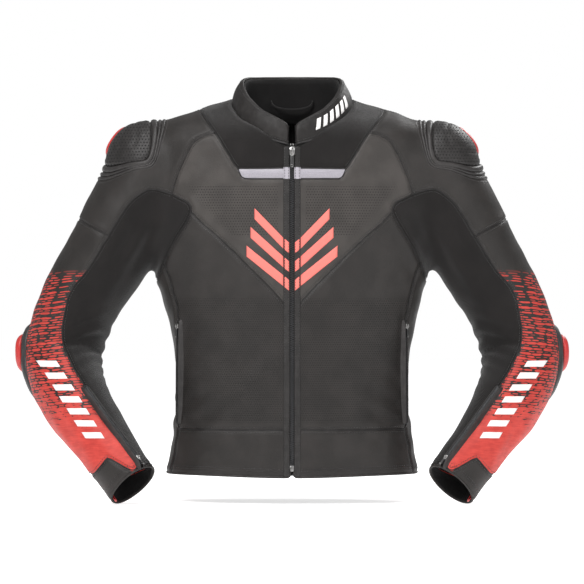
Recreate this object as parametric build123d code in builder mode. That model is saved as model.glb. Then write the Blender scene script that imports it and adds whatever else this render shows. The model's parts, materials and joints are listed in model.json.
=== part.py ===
"""Leather riding jacket: torso shell, articulated sleeves, armour, zips and fittings.

Frame: +Z up, the wearer faces -Y, the wearer's right arm is at -X.
Origin: on the ground plane of the jacket's box (the lowest point of the cuffs), under its centre.
All sizes are millimetres. Right-hand pieces are modelled and mirrored to make the left ones.
"""

import math
import os
from typing import NamedTuple

from build123d import *

os.makedirs("parts", exist_ok=True)

# ---------------------------------------------------------------- driving dimensions
SHIFT = (0.0, 6.3, -6.7)  # from the drafting frame to the delivery frame
LEATHER = 2.0  # outer leather with its backing
LINING = 1.2
LINING_GAP = 5.0  # lining sits this far inside the outer face
ZIP_GAP = 3.0  # half of the slot between the two front edges
ARMHOLE_X = 212.0  # plane where the torso shell ends and the sleeve begins
HEM_Z, NECK_Z = 50.0, 590.0
FRONT_HEM_Y, FRONT_NECK_Y = -122.0, -88.0  # the zip line is straight between these

# cutting tools reach past the torso: sideways and in depth, and upwards
REACH = 300
CEILING = 720

# torso sections: height, half width, front depth offset from the straight front line, back depth
TORSO = [
    (50, 201, 0, 104),
    (84, 194, 0, 101),
    (119, 189, 0, 99),
    (154, 186, 0, 98),
    (244, 189, 0, 107),
    (324, 205, 0, 119),
    (378, 222, 0, 125),
    (430, 240, 0, 129),
    (500, 248, 0, 129),
    (550, 244, 0, 122),
    (585, 228, 0, 108),
    (604, 209, 12, 95),
    (618, 188, 28, 82),
    (630, 152, 42, 73),
    (641, 120, 50, 66),
    (650, 97, 57, 61),
]

# seams of the torso
WAIST_SEAM_Z = 123.5
SIDE_TOP_Z = 371  # top of the side panels
SIDE_STEP_Z = 378  # above this the lower front panels reach back to the ridge
BACK_SEAM_Z = 430
SIDE_FRONT_Y, SIDE_BACK_Y = -42.0, 48.0
RIDGE_Y = 8.0  # the shoulder seam runs along the top of the shoulder at this depth

# front seams of the torso's right half (x, z)
YOKE_EDGE = [(-138.4, 632), (-123.7, 593.4), (-78.4, 517.8), (0, 519.5)]
SHOULDER_SEAM = [(-123.7, 593.4), (-158.8, 575), (-171, 555), (-183.7, 520), (-190, 499)]
UNDERARM_SEAM = [
    (-190, 499), (-162, 481), (-160, 467), (-166, 451), (-180, 432.5), (-199, 406),
    (-216, SIDE_TOP_Z),
]
V_SEAM = [(-160, 467), (-106.6, 417), (0, 311)]


# ---------------------------------------------------------------- general helpers
def finish(piece, name):
    """Moves a finished piece into the delivery frame, labels it and writes it."""
    part = piece.moved(Location(SHIFT))
    part.label = name
    export_step(part, f"parts/{name}.step")


def joined(*pieces):
    """Several solids as one piece."""
    with BuildPart() as group:
        for piece in pieces:
            add(piece)
    return group.part


def both_sides(right):
    """The right-hand piece and its mirror image as one piece."""
    with BuildPart() as pair:
        add(right)
        mirror(right, about=Plane.YZ)
    return pair.part


def finish_pair(right, name):
    """Writes the right-hand piece and its mirror image as two pieces."""
    with BuildPart() as left:
        mirror(right, about=Plane.YZ)
    finish(right, name + "_right")
    finish(left.part, name + "_left")


def common(shell, *tools):
    """What is left of a shell inside every tool."""
    with BuildPart() as cut:
        add(shell)
        for tool in tools:
            add(tool, mode=Mode.INTERSECT)
    return cut.part


def prism(points, y0, y1):
    """A column along Y over a polygon given in the front view (x, z)."""
    with BuildPart() as column:
        with BuildSketch(Plane(origin=(0, y1, 0), x_dir=(1, 0, 0), z_dir=(0, -1, 0))):
            with BuildLine():
                Polyline(*points, close=True)
            make_face()
        extrude(amount=y1 - y0)
    return column.part


def block(x_range, y_range, z_range):
    """A box given by its (low, high) limits on each axis."""
    ranges = (x_range, y_range, z_range)
    with BuildPart() as box:
        with Locations(tuple((low + high) / 2 for low, high in ranges)):
            Box(*(high - low for low, high in ranges))
    return box.part


# ---------------------------------------------------------------- torso and collar outlines
def front_y(z):
    """Depth of the straight front line at a height."""
    return FRONT_HEM_Y + (z - HEM_Z) * (FRONT_NECK_Y - FRONT_HEM_Y) / (NECK_Z - HEM_Z)


def torso_solid(inset):
    """The torso's outline as a solid, inset by a distance."""
    with BuildPart() as solid:
        for z, half_width, front_offset, back in TORSO:
            y0, y1 = front_y(z) + front_offset + inset, back - inset
            with BuildSketch(Plane.XY.offset(z)):
                with Locations((0, (y0 + y1) / 2)):
                    Ellipse(half_width - inset, (y1 - y0) / 2)
        loft(ruled=True)
    return solid.part


def torso_shell(outer, inner):
    """A hollow torso shell between two insets; negative insets lie outside the leather."""
    with BuildPart() as shell:
        add(torso_solid(outer))
        add(torso_solid(inner), mode=Mode.SUBTRACT)
    return shell.part


# collar sections, bottom and top: centre (y, z), normal (y, z), half width, half depth
COLLAR = [
    ((-12, 613), (-0.43, 0.903), 92.5, 86),
    ((-9, 648), (-0.52, 0.854), 80, 79),
]
COLLAR_CLEARANCE = 0.8  # between the collar and the torso shell
COLLAR_SLOT = 3.4  # half of the collar's front opening


def collar_solid(inset):
    """The collar's outline as a solid, inset by a distance."""
    with BuildPart() as solid:
        for (y, z), (normal_y, normal_z), half_width, half_depth in COLLAR:
            section = Plane(origin=(0, y, z), x_dir=(1, 0, 0), z_dir=(0, normal_y, normal_z))
            with BuildSketch(section):
                Ellipse(half_width - inset, half_depth - inset)
        loft(ruled=True)
    return solid.part


def collar_ring(outer, inner):
    """A collar layer between two insets, open at the front."""
    with BuildPart() as ring:
        add(collar_solid(outer))
        add(collar_solid(inner), mode=Mode.SUBTRACT)
        slot = block((-COLLAR_SLOT, COLLAR_SLOT), (-200, 0), (500, CEILING))
        add(slot, mode=Mode.SUBTRACT)
    return ring.part


finish(collar_ring(0, 2.6), "collar_shell")
finish(collar_ring(2.8, 4.6), "collar_lining")

# ---------------------------------------------------------------- torso skin
# neck hole, square to the tilted neck plane: half width and half depth
NECK_PLANE = Plane(origin=(0, -13, 610), x_dir=(1, 0, 0), z_dir=(0, -0.43, 0.903))
NECK_HOLE = (93, 86.5)
LINING_NECK_HOLE = (99, 93)
NECK_CUT = 140  # length of the cut to each side of the neck plane


def torso_skin(right_only):
    """The leather torso shell with its neck hole, whole or only right of the front slot."""
    with BuildPart() as skin:
        add(torso_shell(0, LEATHER))
        if right_only:
            right = block((-REACH, -ZIP_GAP), (-REACH, REACH), (0, CEILING))
            add(right, mode=Mode.INTERSECT)
        with BuildSketch(NECK_PLANE):
            Ellipse(*NECK_HOLE)
        extrude(amount=NECK_CUT, both=True, mode=Mode.SUBTRACT)
        add(collar_solid(-COLLAR_CLEARANCE), mode=Mode.SUBTRACT)
    return skin.part


skin_right = torso_skin(right_only=True)
skin_full = torso_skin(right_only=False)  # the back panels run from side to side

# panel outlines of the right half in the front view (x, z)
PAST_ARMHOLE_X = -ARMHOLE_X - 5
ARMHOLE_SEAM_Z = 503  # the shoulder and underarm panels meet here at the armhole
YOKE_AREA = [(0, CEILING), (-138.4, CEILING), *YOKE_EDGE]
CHEST_AREA = [
    *YOKE_EDGE[1:],
    *reversed(V_SEAM),
    *reversed(UNDERARM_SEAM[:2]),
    *reversed(SHOULDER_SEAM[1:-1]),
]
SHOULDER_AREA = [
    (-138.4, CEILING),
    (PAST_ARMHOLE_X, CEILING),
    (PAST_ARMHOLE_X, ARMHOLE_SEAM_Z),
    *reversed(SHOULDER_SEAM),
    YOKE_EDGE[0],
]
UNDERARM_AREA = [
    *UNDERARM_SEAM,
    (PAST_ARMHOLE_X, SIDE_TOP_Z),
    (PAST_ARMHOLE_X, ARMHOLE_SEAM_Z),
]
LOWER_AREA = [
    *reversed(V_SEAM),
    *UNDERARM_SEAM[3:],
    (-260, SIDE_TOP_Z),
    (-260, WAIST_SEAM_Z),
    (0, WAIST_SEAM_Z),
]


def front_prism(area):
    return prism(area, -REACH, RIDGE_Y)


inside_armhole = block((-ARMHOLE_X, 0), (-REACH, REACH), (0, CEILING))

# ---------------------------------------------------------------- front and side panels
finish(both_sides(common(skin_right, front_prism(YOKE_AREA))), "yoke_stretch_panels")

chest_right = common(skin_right, front_prism(CHEST_AREA), inside_armhole)
finish(both_sides(chest_right), "front_chest_panels")

lower_room = block((-REACH, 0), (-REACH, SIDE_FRONT_Y), (0, SIDE_STEP_Z)) + block(
    (-ARMHOLE_X, 0), (-REACH, RIDGE_Y), (SIDE_STEP_Z, CEILING)
)
lower_right = common(skin_right, front_prism(LOWER_AREA), lower_room)
finish(both_sides(lower_right), "front_lower_panels")

waist_room = block((-REACH, 0), (-REACH, SIDE_FRONT_Y), (0, WAIST_SEAM_Z))
finish(both_sides(common(skin_right, waist_room)), "front_waist_panels")

side_room = block((-REACH, 0), (SIDE_FRONT_Y, SIDE_BACK_Y), (0, SIDE_TOP_Z))
finish(both_sides(common(skin_right, side_room)), "side_panels")

# ---------------------------------------------------------------- back panels
back_upper_room = block((-ARMHOLE_X, ARMHOLE_X), (RIDGE_Y, REACH), (BACK_SEAM_Z, CEILING))
finish(common(skin_full, back_upper_room), "back_upper_panel")

back_lower_room = block((-REACH, REACH), (SIDE_BACK_Y, REACH), (WAIST_SEAM_Z, SIDE_TOP_Z)) + block(
    (-ARMHOLE_X, ARMHOLE_X), (RIDGE_Y, REACH), (SIDE_TOP_Z, BACK_SEAM_Z)
)
finish(common(skin_full, back_lower_room), "back_lower_panel")

back_waist_room = block((-REACH, REACH), (SIDE_BACK_Y, REACH), (0, WAIST_SEAM_Z))
finish(common(skin_full, back_waist_room), "back_waist_panel")

# ---------------------------------------------------------------- reflective stripes
# they lie on the yoke just above its lower edge
STRIPE_H = 17.0
STRIPE_X, STRIPE_Z = -79, 519.5  # lower outer corner of the right stripe
STRIPE_AREA = [
    (-ZIP_GAP, 521),
    (STRIPE_X, STRIPE_Z),
    (STRIPE_X - STRIPE_H * 0.6, STRIPE_Z + STRIPE_H),
    (-ZIP_GAP, 523 + STRIPE_H),
]
stripe_right = common(torso_shell(-0.5, -0.02), prism(STRIPE_AREA, -REACH, 0))
finish(both_sides(stripe_right), "reflective_stripes")

# ---------------------------------------------------------------- linings and back armour
LINING_FRONT_HALF = 24  # half of the lining's front opening
LINING_HALF_WIDTH = 204
LINING_LOW, LINING_HIGH = 88, 600

with BuildPart() as lining:
    add(torso_shell(LINING_GAP, LINING_GAP + LINING))
    with BuildSketch(NECK_PLANE):
        Ellipse(*LINING_NECK_HOLE)
    extrude(amount=NECK_CUT, both=True, mode=Mode.SUBTRACT)
    add(
        block((-LINING_FRONT_HALF, LINING_FRONT_HALF), (-REACH, 0), (0, CEILING)),
        mode=Mode.SUBTRACT,
    )
    add(
        block(
            (-LINING_HALF_WIDTH, LINING_HALF_WIDTH), (-REACH, REACH), (LINING_LOW, LINING_HIGH)
        ),
        mode=Mode.INTERSECT,
    )
finish(lining.part, "torso_lining")

# outline of the back protector (x, z)
SPINE_PAD_AREA = [
    (-70, 150), (70, 150), (105, 300), (120, 430),
    (80, 520), (-80, 520), (-120, 430), (-105, 300),
]
spine_pad = common(
    torso_shell(LINING_GAP + 2, LINING_GAP + 14), prism(SPINE_PAD_AREA, 20, REACH)
)
finish(spine_pad, "back_protector")

waist_zip = common(
    torso_shell(LEATHER + 0.4, LEATHER + 2.2), block((-130, 130), (SIDE_BACK_Y, REACH), (66, 84))
)
finish(waist_zip, "trouser_connection_zip")

LOOP_LENGTH, LOOP_HEIGHT = 70, 18
LOOP_BAND = 4  # width of the loop's material
with BuildPart() as loop:
    with BuildSketch(Plane(origin=(0, 50, 641), x_dir=(1, 0, 0), z_dir=(0, -0.85, -0.52))):
        SlotOverall(LOOP_LENGTH, LOOP_HEIGHT)
        SlotOverall(LOOP_LENGTH - 2 * LOOP_BAND, LOOP_HEIGHT - 2 * LOOP_BAND, mode=Mode.SUBTRACT)
    extrude(amount=2.5)
finish(loop.part, "hanger_loop")

# ---------------------------------------------------------------- main zip
ZIP_LOW, ZIP_HIGH = 56.0, 574.0
ZIP_TILT = math.atan2(FRONT_NECK_Y - FRONT_HEM_Y, NECK_Z - HEM_Z)
ZIP_OUT = (0, -math.cos(ZIP_TILT), math.sin(ZIP_TILT))
ZIP_LENGTH = (ZIP_HIGH - ZIP_LOW) / math.cos(ZIP_TILT)
ZIP_MID = (ZIP_LOW + ZIP_HIGH) / 2
TOOTH_X, TOOTH_WIDTH = 1.6, 2.0  # centre and width of each row of teeth


def zip_plane(z, depth):
    """Plane facing out of the chest on the zip line, x along +X, depth behind the leather's face."""
    origin = (0, front_y(z) - ZIP_OUT[1] * depth, z - ZIP_OUT[2] * depth)
    return Plane(origin=origin, x_dir=(1, 0, 0), z_dir=ZIP_OUT)


def zip_bar(width, length, thickness, depth, z=ZIP_MID, x=0, along=0):
    """A flat bar parallel to the zip, its back face at a depth; along shifts it up the zip."""
    with BuildPart() as bar:
        with BuildSketch(zip_plane(z, depth)):
            with Locations((x, along)):
                Rectangle(width, length)
        extrude(amount=thickness)
    return bar.part


tape_right = zip_bar(width=14.8, length=ZIP_LENGTH, thickness=0.7, depth=3.4, x=-8.6)
finish(both_sides(tape_right), "front_zip_tapes")

# each row of teeth is one plain strip
teeth_right = zip_bar(
    width=TOOTH_WIDTH, length=ZIP_LENGTH - 14, thickness=1.9, depth=2.65, x=-TOOTH_X, along=2
)
finish(both_sides(teeth_right), "front_zip_teeth")

bottom_stop = zip_bar(width=5.4, length=7, thickness=2.3, depth=2.6, z=ZIP_LOW + 4)
top_stops = [
    zip_bar(width=TOOTH_WIDTH, length=2.4, thickness=2.2, depth=2.65, z=ZIP_HIGH - 1.5, x=x)
    for x in (-TOOTH_X, TOOTH_X)
]
finish(joined(bottom_stop, *top_stops), "front_zip_stops")

finish(zip_bar(width=44, length=ZIP_LENGTH - 8, thickness=1.2, depth=8.2), "wind_flap")

# ---------------------------------------------------------------- zip sliders and pulls
# slider sizes are those of the main zip; the side and cuff zips use them scaled down
SLIDER_Z = 562.0
PULL_HOLE_R = 1.6
SMALL_SCALE = 0.62
SLIDER_LIFT = 0.5  # front plate above the zip plane, not scaled
PIN_LIFT = 3.0  # pin above the front plate's underside
POST_X = 2.9
EYE_WIDTH = 4.2
BLADE_TOP = 5.2  # distance from the pin down to the pull's blade


def cross_plane(plane, x, z):
    """Plane for a round bar that runs along a zip plane's x."""
    origin = plane.from_local_coords(Vector(x, 0, z))
    return Plane(origin=origin, x_dir=plane.z_dir, z_dir=plane.x_dir)


def slider_on(plane, scale):
    """A slider on a plane whose z faces out and whose y is the zip's direction."""
    with BuildPart() as body:
        # front plate, back plate and the thin neck between them
        with BuildSketch(plane.offset(SLIDER_LIFT)):
            SlotCenterToCenter(5.5 * scale, 8.4 * scale, rotation=90)
        extrude(amount=1.5 * scale)
        with BuildSketch(plane.offset(-5.2)):
            Rectangle(8.0 * scale, 12.5 * scale)
        extrude(amount=1.2)
        with BuildSketch(plane.offset(-4.2)):
            with Locations((0, 4.0 * scale)):
                Rectangle(0.8, 3.5 * scale)
        extrude(amount=5.0)
        # two posts and the pin that carries the pull
        with BuildSketch(plane.offset(SLIDER_LIFT + 1.4 * scale)):
            with Locations((-POST_X * scale, 0), (POST_X * scale, 0)):
                Rectangle(1.2 * scale, 3.4 * scale)
        extrude(amount=3.0 * scale)
        with BuildSketch(cross_plane(plane, -POST_X * scale, SLIDER_LIFT + PIN_LIFT * scale)):
            Circle(0.75 * scale)
        extrude(amount=2 * POST_X * scale)
    return body.part


def pull_on(plane, scale, length, hole_radius=0):
    """The pull on the slider's pin: an eye, a neck and a blade, with an optional hole near its tip."""
    pin = SLIDER_LIFT + PIN_LIFT * scale
    blade = length - BLADE_TOP * scale
    with BuildPart() as tab:
        with BuildSketch(cross_plane(plane, -EYE_WIDTH / 2 * scale, pin)):
            Circle(1.45 * scale)
        extrude(amount=EYE_WIDTH * scale)
        with BuildSketch(plane.offset(pin - 0.8 * scale)):
            with Locations((0, -3.6 * scale)):
                Rectangle(EYE_WIDTH * scale, 5.6 * scale)
            with Locations((0, -(BLADE_TOP * scale + blade / 2))):
                RectangleRounded(6.6 * scale, blade, 1.6 * scale)
        extrude(amount=1.6 * scale)
        # bore for the pin
        with BuildSketch(cross_plane(plane, -4 * scale, pin)):
            Circle(1.0 * scale)
        extrude(amount=8 * scale, mode=Mode.SUBTRACT)
        if hole_radius:
            with BuildSketch(plane.offset(pin - 3 * scale)):
                with Locations((0, -(length - 3.6 * scale))):
                    Circle(hole_radius)
            extrude(amount=6 * scale, mode=Mode.SUBTRACT)
    return tab.part


slider_plane = zip_plane(SLIDER_Z, 0)
finish(slider_on(slider_plane, 1.0), "front_zip_slider")
finish(pull_on(slider_plane, 1.0, length=27.0, hole_radius=PULL_HOLE_R), "front_zip_pull")


# ---------------------------------------------------------------- short zips
class ShortZip(NamedTuple):
    """A straight zip between two points, with the rough direction it faces."""

    low: Vector
    top: Vector
    outward: Vector

    def plane(self, share, depth=0.0):
        """Plane at a share of the length from the low end; x across the zip, y up it, z out."""
        up = (self.top - self.low).normalized()
        across = up.cross(self.outward).normalized()
        out = across.cross(up).normalized()
        origin = self.low + (self.top - self.low) * share - out * depth
        return Plane(origin=origin, x_dir=across, z_dir=out)


def short_tape(short_zip, tape_x, tape_width):
    """The two tapes of a short zip, bridged at both ends."""
    length = (short_zip.top - short_zip.low).length
    bridge_y = length / 2 - 1.5
    with BuildPart() as tape:
        with BuildSketch(short_zip.plane(0.5, depth=2.2)):
            with Locations((-tape_x, 0), (tape_x, 0)):
                Rectangle(tape_width, length)
            with Locations((0, bridge_y), (0, -bridge_y)):
                Rectangle(4, 3)
        extrude(amount=1.0)
    return tape.part


# pocket zips near the front edge of the side panels
pocket_zip = ShortZip(
    low=Vector(-182.6, -49.2, 128),
    top=Vector(-181.9, -51.2, 296),
    outward=Vector(-0.80, -0.60, 0),
)
finish(both_sides(short_tape(pocket_zip, tape_x=5.4, tape_width=9.0)), "pocket_zips")
pocket_slider_plane = pocket_zip.plane(0.94)
finish_pair(slider_on(pocket_slider_plane, SMALL_SCALE), "pocket_slider")
finish_pair(pull_on(pocket_slider_plane, SMALL_SCALE, length=19.0), "pocket_pull")


# ---------------------------------------------------------------- sleeves
class Station(NamedTuple):
    """An elliptical section of the sleeve; angles are degrees from the outer side."""

    centre: tuple
    down: tuple  # direction down the arm
    out: tuple  # direction to the outer side
    out_radius: float
    depth_radius: float
    front_seam: float
    back_seam: float


# stations of the wearer's right arm, columns as in Station
SLEEVE = {
    key: Station(*row)
    for key, *row in [
        ("armhole", (-212.4, 12, 489.5), (-1, 0, 0), (0, 0, 1), 110.5, 62, -84, 84),
        ("cap_top", (-237.5, 12, 484.5), (-0.984, 0, -0.176), (-0.176, 0, 0.984), 107, 66, -86, 86),
        ("cap_mid", (-259, 12, 463), (-0.925, 0, -0.38), (-0.38, 0, 0.925), 92, 67, -91, 91),
        ("arm_seam", (-286.5, 12, 416.5), (-0.59, 0.03, -0.807), (-0.807, 0, 0.59), 71, 66, -84, 90),
        ("upper_mid", (-312.5, 15, 373), (-0.50, 0.05, -0.865), (-0.84, 0.20, 0.50), 67, 65, -74, 88),
        ("upper_end", (-341.1, 18, 322.3), (-0.42, 0.08, -0.904), (-0.80, 0.42, 0.42),
         63.5, 62, -70, 84),
        ("elbow", (-366, 25, 243), (-0.10, -0.21, -0.972), (-0.80, 0.59, -0.05), 63, 60, -98, 84),
        ("fore_start", (-358, -6, 195), (0.27, -0.47, -0.84), (-0.79, 0.40, -0.46),
         59.5, 57, -112, 90),
        ("fore_mid", (-339, -32, 157.8), (0.45, -0.46, -0.766), (-0.72, 0.33, -0.61),
         55, 52, -122, 100),
        ("fore_low", (-305.5, -62, 110.9), (0.53, -0.46, -0.713), (-0.67, 0.30, -0.68),
         47.6, 44, -136, 110),
        ("cuff_top", (-272, -90, 66.3), (0.54, -0.46, -0.704), (-0.66, 0.30, -0.68),
         45.5, 40, -150, 120),
        ("cuff_end", (-250.4, -108, 37.7), (0.54, -0.46, -0.704), (-0.66, 0.30, -0.68),
         44.5, 37, -150, 120),
    ]
}
CAP = ["armhole", "cap_top", "cap_mid", "arm_seam"]
UPPER = ["arm_seam", "upper_mid", "upper_end"]
ELBOW = ["upper_end", "elbow", "fore_start"]
FORE = ["fore_start", "fore_mid", "fore_low", "cuff_top"]
CUFF = ["cuff_top", "cuff_end"]
ARC_STEPS = 8  # straight segments across each panel


def sleeve_plane(station):
    """Plane of a station: x to the outer side, y to the back, z down the arm."""
    down = Vector(*station.down).normalized()
    out = Vector(*station.out)
    out = (out - down * out.dot(down)).normalized()
    return Plane(origin=station.centre, x_dir=out, z_dir=down)


def sleeve_point(key, degrees, lift=0.0):
    """A point lifted off the sleeve's outer face, at an angle from the outer side."""
    station = SLEEVE[key]
    angle = math.radians(degrees)
    local = Vector(
        (station.out_radius + lift) * math.cos(angle),
        (station.depth_radius + lift) * math.sin(angle),
        0,
    )
    return sleeve_plane(station).from_local_coords(local)


def sleeve_half(keys, outer_half, trim=0.5):
    """The outer or the inner panel of the sleeve, trimmed by an angle at both seams."""
    with BuildPart() as panel:
        for key in keys:
            station = SLEEVE[key]
            rx, ry = station.out_radius, station.depth_radius
            if outer_half:
                start, end = station.front_seam + trim, station.back_seam - trim
            else:
                start, end = station.back_seam + trim, 360 + station.front_seam - trim
            angles = [
                math.radians(start + (end - start) * i / ARC_STEPS) for i in range(ARC_STEPS + 1)
            ]
            ring = [(rx * math.cos(t), ry * math.sin(t)) for t in angles]
            ring += [
                ((rx - LEATHER) * math.cos(t), (ry - LEATHER) * math.sin(t))
                for t in reversed(angles)
            ]
            with BuildSketch(sleeve_plane(station)):
                with BuildLine():
                    Polyline(*ring, close=True)
                make_face()
        loft(ruled=True)
    return panel.part


# the shoulder and underarm panels run from the torso onto the sleeve
shoulder_torso = common(skin_right, front_prism(SHOULDER_AREA), inside_armhole)
finish_pair(joined(shoulder_torso, sleeve_half(CAP, True)), "shoulder_panel")

underarm_torso = common(skin_right, front_prism(UNDERARM_AREA), inside_armhole)
finish_pair(joined(underarm_torso, sleeve_half(CAP + UPPER[1:], False)), "upper_sleeve_stretch")

finish_pair(sleeve_half(UPPER, True), "upper_sleeve_leather")
finish_pair(sleeve_half(ELBOW, True), "elbow_panel")
finish_pair(sleeve_half(FORE, True), "forearm_leather")
finish_pair(sleeve_half(ELBOW + FORE[1:], False), "forearm_stretch")

# the cuff's inner half overlaps its outer half, so the band closes
cuff_right = joined(sleeve_half(CUFF, True), sleeve_half(CUFF, False, trim=-0.5))
finish_pair(cuff_right, "cuff_band")

# cuff zip near the front seam of the forearm, standing just clear of it
CUFF_ZIP_LIFT = 7.0
cuff_zip = ShortZip(
    low=sleeve_point("cuff_end", -150, CUFF_ZIP_LIFT),
    top=sleeve_point("fore_mid", -138, CUFF_ZIP_LIFT),
    outward=sleeve_point("fore_low", -144, 10.0) - sleeve_point("fore_low", -144),
)
finish_pair(short_tape(cuff_zip, tape_x=4.8, tape_width=7.4), "cuff_zip")
cuff_slider_plane = cuff_zip.plane(0.08)
finish_pair(slider_on(cuff_slider_plane, SMALL_SCALE), "cuff_slider")
finish_pair(pull_on(cuff_slider_plane, SMALL_SCALE, length=17.0), "cuff_pull")

# ---------------------------------------------------------------- armour
SHOULDER_PIVOT = (-222, 5, 532)
ELBOW_PIVOT = (-366, 25, 250)

# name, joint, direction it faces, inner radius, outer radius, radius of its rim
ARMOUR = [
    ("shoulder_cup", SHOULDER_PIVOT, (-0.60, 0.0, 0.80), 78.0, 83.0, 42),
    ("shoulder_slider", SHOULDER_PIVOT, (-0.74, 0.28, 0.61), 83.3, 88.0, 27),
    ("shoulder_protector", SHOULDER_PIVOT, (-0.78, 0.0, 0.62), 44.0, 52.0, 30),
    ("elbow_cup", ELBOW_PIVOT, (-0.88, 0.46, -0.10), 66.0, 72.0, 40),
    ("elbow_slider", ELBOW_PIVOT, (-0.93, 0.33, -0.14), 72.3, 78.0, 30),
    ("elbow_protector", ELBOW_PIVOT, (-0.86, 0.50, -0.10), 44.0, 53.0, 34),
]


def cap_shell(centre, direction, r_in, r_out, rim_radius):
    """A round piece of a spherical shell around a joint, facing a direction."""
    with BuildPart() as cap:
        with Locations(centre):
            Sphere(r_out)
            Sphere(r_in, mode=Mode.SUBTRACT)
        with BuildSketch(Plane(origin=centre, z_dir=direction)):
            Circle(rim_radius)
        extrude(amount=r_out + 20, mode=Mode.INTERSECT)
    return cap.part


for name, *shape in ARMOUR:
    finish_pair(cap_shell(*shape), name)

# ribbed leather over the shoulder on the neck side of the cup
RIB_X, RIB_PITCH, RIB_WIDTH = -168, 9, 4  # outer face of the rib nearest the neck
RIB_FRONTS = (-62, -60, -56, -52)  # front end of each rib, from the neck outwards
RIB_BACK, RIB_LOW = 66, 575

rib_slabs = []
for i, rib_front in enumerate(RIB_FRONTS):
    rib_x = RIB_X - i * RIB_PITCH
    rib_slabs.append(
        block((rib_x, rib_x + RIB_WIDTH), (rib_front, RIB_BACK), (RIB_LOW, CEILING))
    )
ribs_right = common(torso_shell(-4.0, -0.4), sum(rib_slabs[1:], rib_slabs[0]))
finish_pair(ribs_right, "shoulder_bellows")
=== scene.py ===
"""A leather jacket with armour cups, empty but shaped as worn with the elbows a little bent.

It stands upright: Z is up, the front faces -Y and the wearer's right arm is on the -X side.
It is drafted in millimetres as its right half, then mirrored. Meshes are written in metres.
"""
import itertools
import json
import math
from functools import cached_property

import bmesh
import bpy
import numpy as np
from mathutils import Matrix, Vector
from mathutils.bvhtree import BVHTree


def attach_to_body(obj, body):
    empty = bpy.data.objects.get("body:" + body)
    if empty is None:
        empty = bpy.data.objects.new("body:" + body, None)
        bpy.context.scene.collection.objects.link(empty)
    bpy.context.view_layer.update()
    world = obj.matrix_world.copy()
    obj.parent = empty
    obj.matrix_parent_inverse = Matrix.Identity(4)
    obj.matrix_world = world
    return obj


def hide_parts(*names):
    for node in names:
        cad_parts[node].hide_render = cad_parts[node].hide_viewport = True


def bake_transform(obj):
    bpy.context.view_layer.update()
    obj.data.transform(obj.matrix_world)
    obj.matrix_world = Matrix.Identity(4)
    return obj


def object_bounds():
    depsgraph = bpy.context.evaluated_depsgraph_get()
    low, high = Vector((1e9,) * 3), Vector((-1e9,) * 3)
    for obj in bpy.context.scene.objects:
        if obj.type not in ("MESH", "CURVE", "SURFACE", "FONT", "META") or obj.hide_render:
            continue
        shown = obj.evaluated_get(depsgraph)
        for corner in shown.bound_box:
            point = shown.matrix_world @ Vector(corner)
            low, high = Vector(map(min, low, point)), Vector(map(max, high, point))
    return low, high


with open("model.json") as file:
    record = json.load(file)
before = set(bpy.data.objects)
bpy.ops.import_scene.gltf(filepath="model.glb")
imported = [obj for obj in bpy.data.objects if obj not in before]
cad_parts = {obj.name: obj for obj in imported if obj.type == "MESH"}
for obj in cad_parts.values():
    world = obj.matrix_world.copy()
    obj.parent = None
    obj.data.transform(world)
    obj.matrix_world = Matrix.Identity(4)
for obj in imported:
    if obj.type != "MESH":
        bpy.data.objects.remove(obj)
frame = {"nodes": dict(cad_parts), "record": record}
norm = np.linalg.norm


def bounds():
    return [[float(c) for c in corner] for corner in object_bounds()]


CAD_BOX = bounds()
JOINTS = {j["name"]: j for j in frame["record"]["behaviour"]["joints"]}

# The drafted right elbow, set on the frame's right elbow joint.
ELBOW = np.array([-366.0, 25.0, 250.0])
OFFSET = np.array(JOINTS["elbow_right"]["pos_m"], float) - ELBOW / 1000.0
# Each side with the factors that carry right-hand points onto it.
SIDES = (("right", np.array([1.0, 1, 1])), ("left", np.array([-1.0, 1, 1])))

FRONT_FOOT = (-122, 50)  # y and z of the front line's foot
FRONT_RUN, FRONT_RISE = 34, 540  # its lean towards the back
TORSO_POWER = 2.2  # roundness of the torso's sections: 2 is an ellipse
SHOULDER_POINT = np.array([-222.0, 8, 532])
SHOULDER_RADII = np.array([74.0, 60, 79])
BLEND = 15.0  # softness of the join between torso and sleeve
SLOT_X = 3.4  # half the gap between the front edges
GRID_BOX = ((-436, 12), (-172, 140), (-14, 682))  # space searched for the surface, x, y, z
STEP = 3.6
CUFF_STITCH_STEP = SEAM_STITCH_STEP = 4.3


# ------------------------------------------------------------------ number helpers
def to_metres(pts):
    return np.asarray(pts, float) / 1000.0 + OFFSET


def unit(vec):
    vec = np.asarray(vec, float)
    return vec / np.maximum(norm(vec, axis=-1, keepdims=True), 1e-12)


def curve(where, knots, values):
    """Smooth curve through the values at the knots."""
    knots = np.asarray(knots, float)
    values = np.asarray(values, float)
    slope = np.gradient(values, knots, axis=0)
    where = np.clip(np.asarray(where, float), knots[0], knots[-1])
    i = np.clip(np.searchsorted(knots, where) - 1, 0, len(knots) - 2)
    gap = knots[i + 1] - knots[i]
    part = (where - knots[i]) / gap
    if values.ndim > 1:
        part = part[..., None]
        gap = gap[..., None]
    return (
        (2 * part**3 - 3 * part**2 + 1) * values[i]
        + (part**3 - 2 * part**2 + part) * gap * slope[i]
        + (3 * part**2 - 2 * part**3) * values[i + 1]
        + (part**3 - part**2) * gap * slope[i + 1]
    )


def ease(part):
    part = np.clip(part, 0, 1)
    return part * part * (3 - 2 * part)


def bell(value, centre, width):
    return np.exp(-(((value - centre) / width) ** 2))


def soft_min(one, two):
    mix = np.clip(0.5 + 0.5 * (one - two) / BLEND, 0, 1)
    return one * (1 - mix) + two * mix - BLEND * mix * (1 - mix)


# ------------------------------------------------------------------ body shape
def front_line(z):
    return FRONT_FOOT[0] + (z - FRONT_FOOT[1]) * FRONT_RUN / FRONT_RISE


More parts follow.
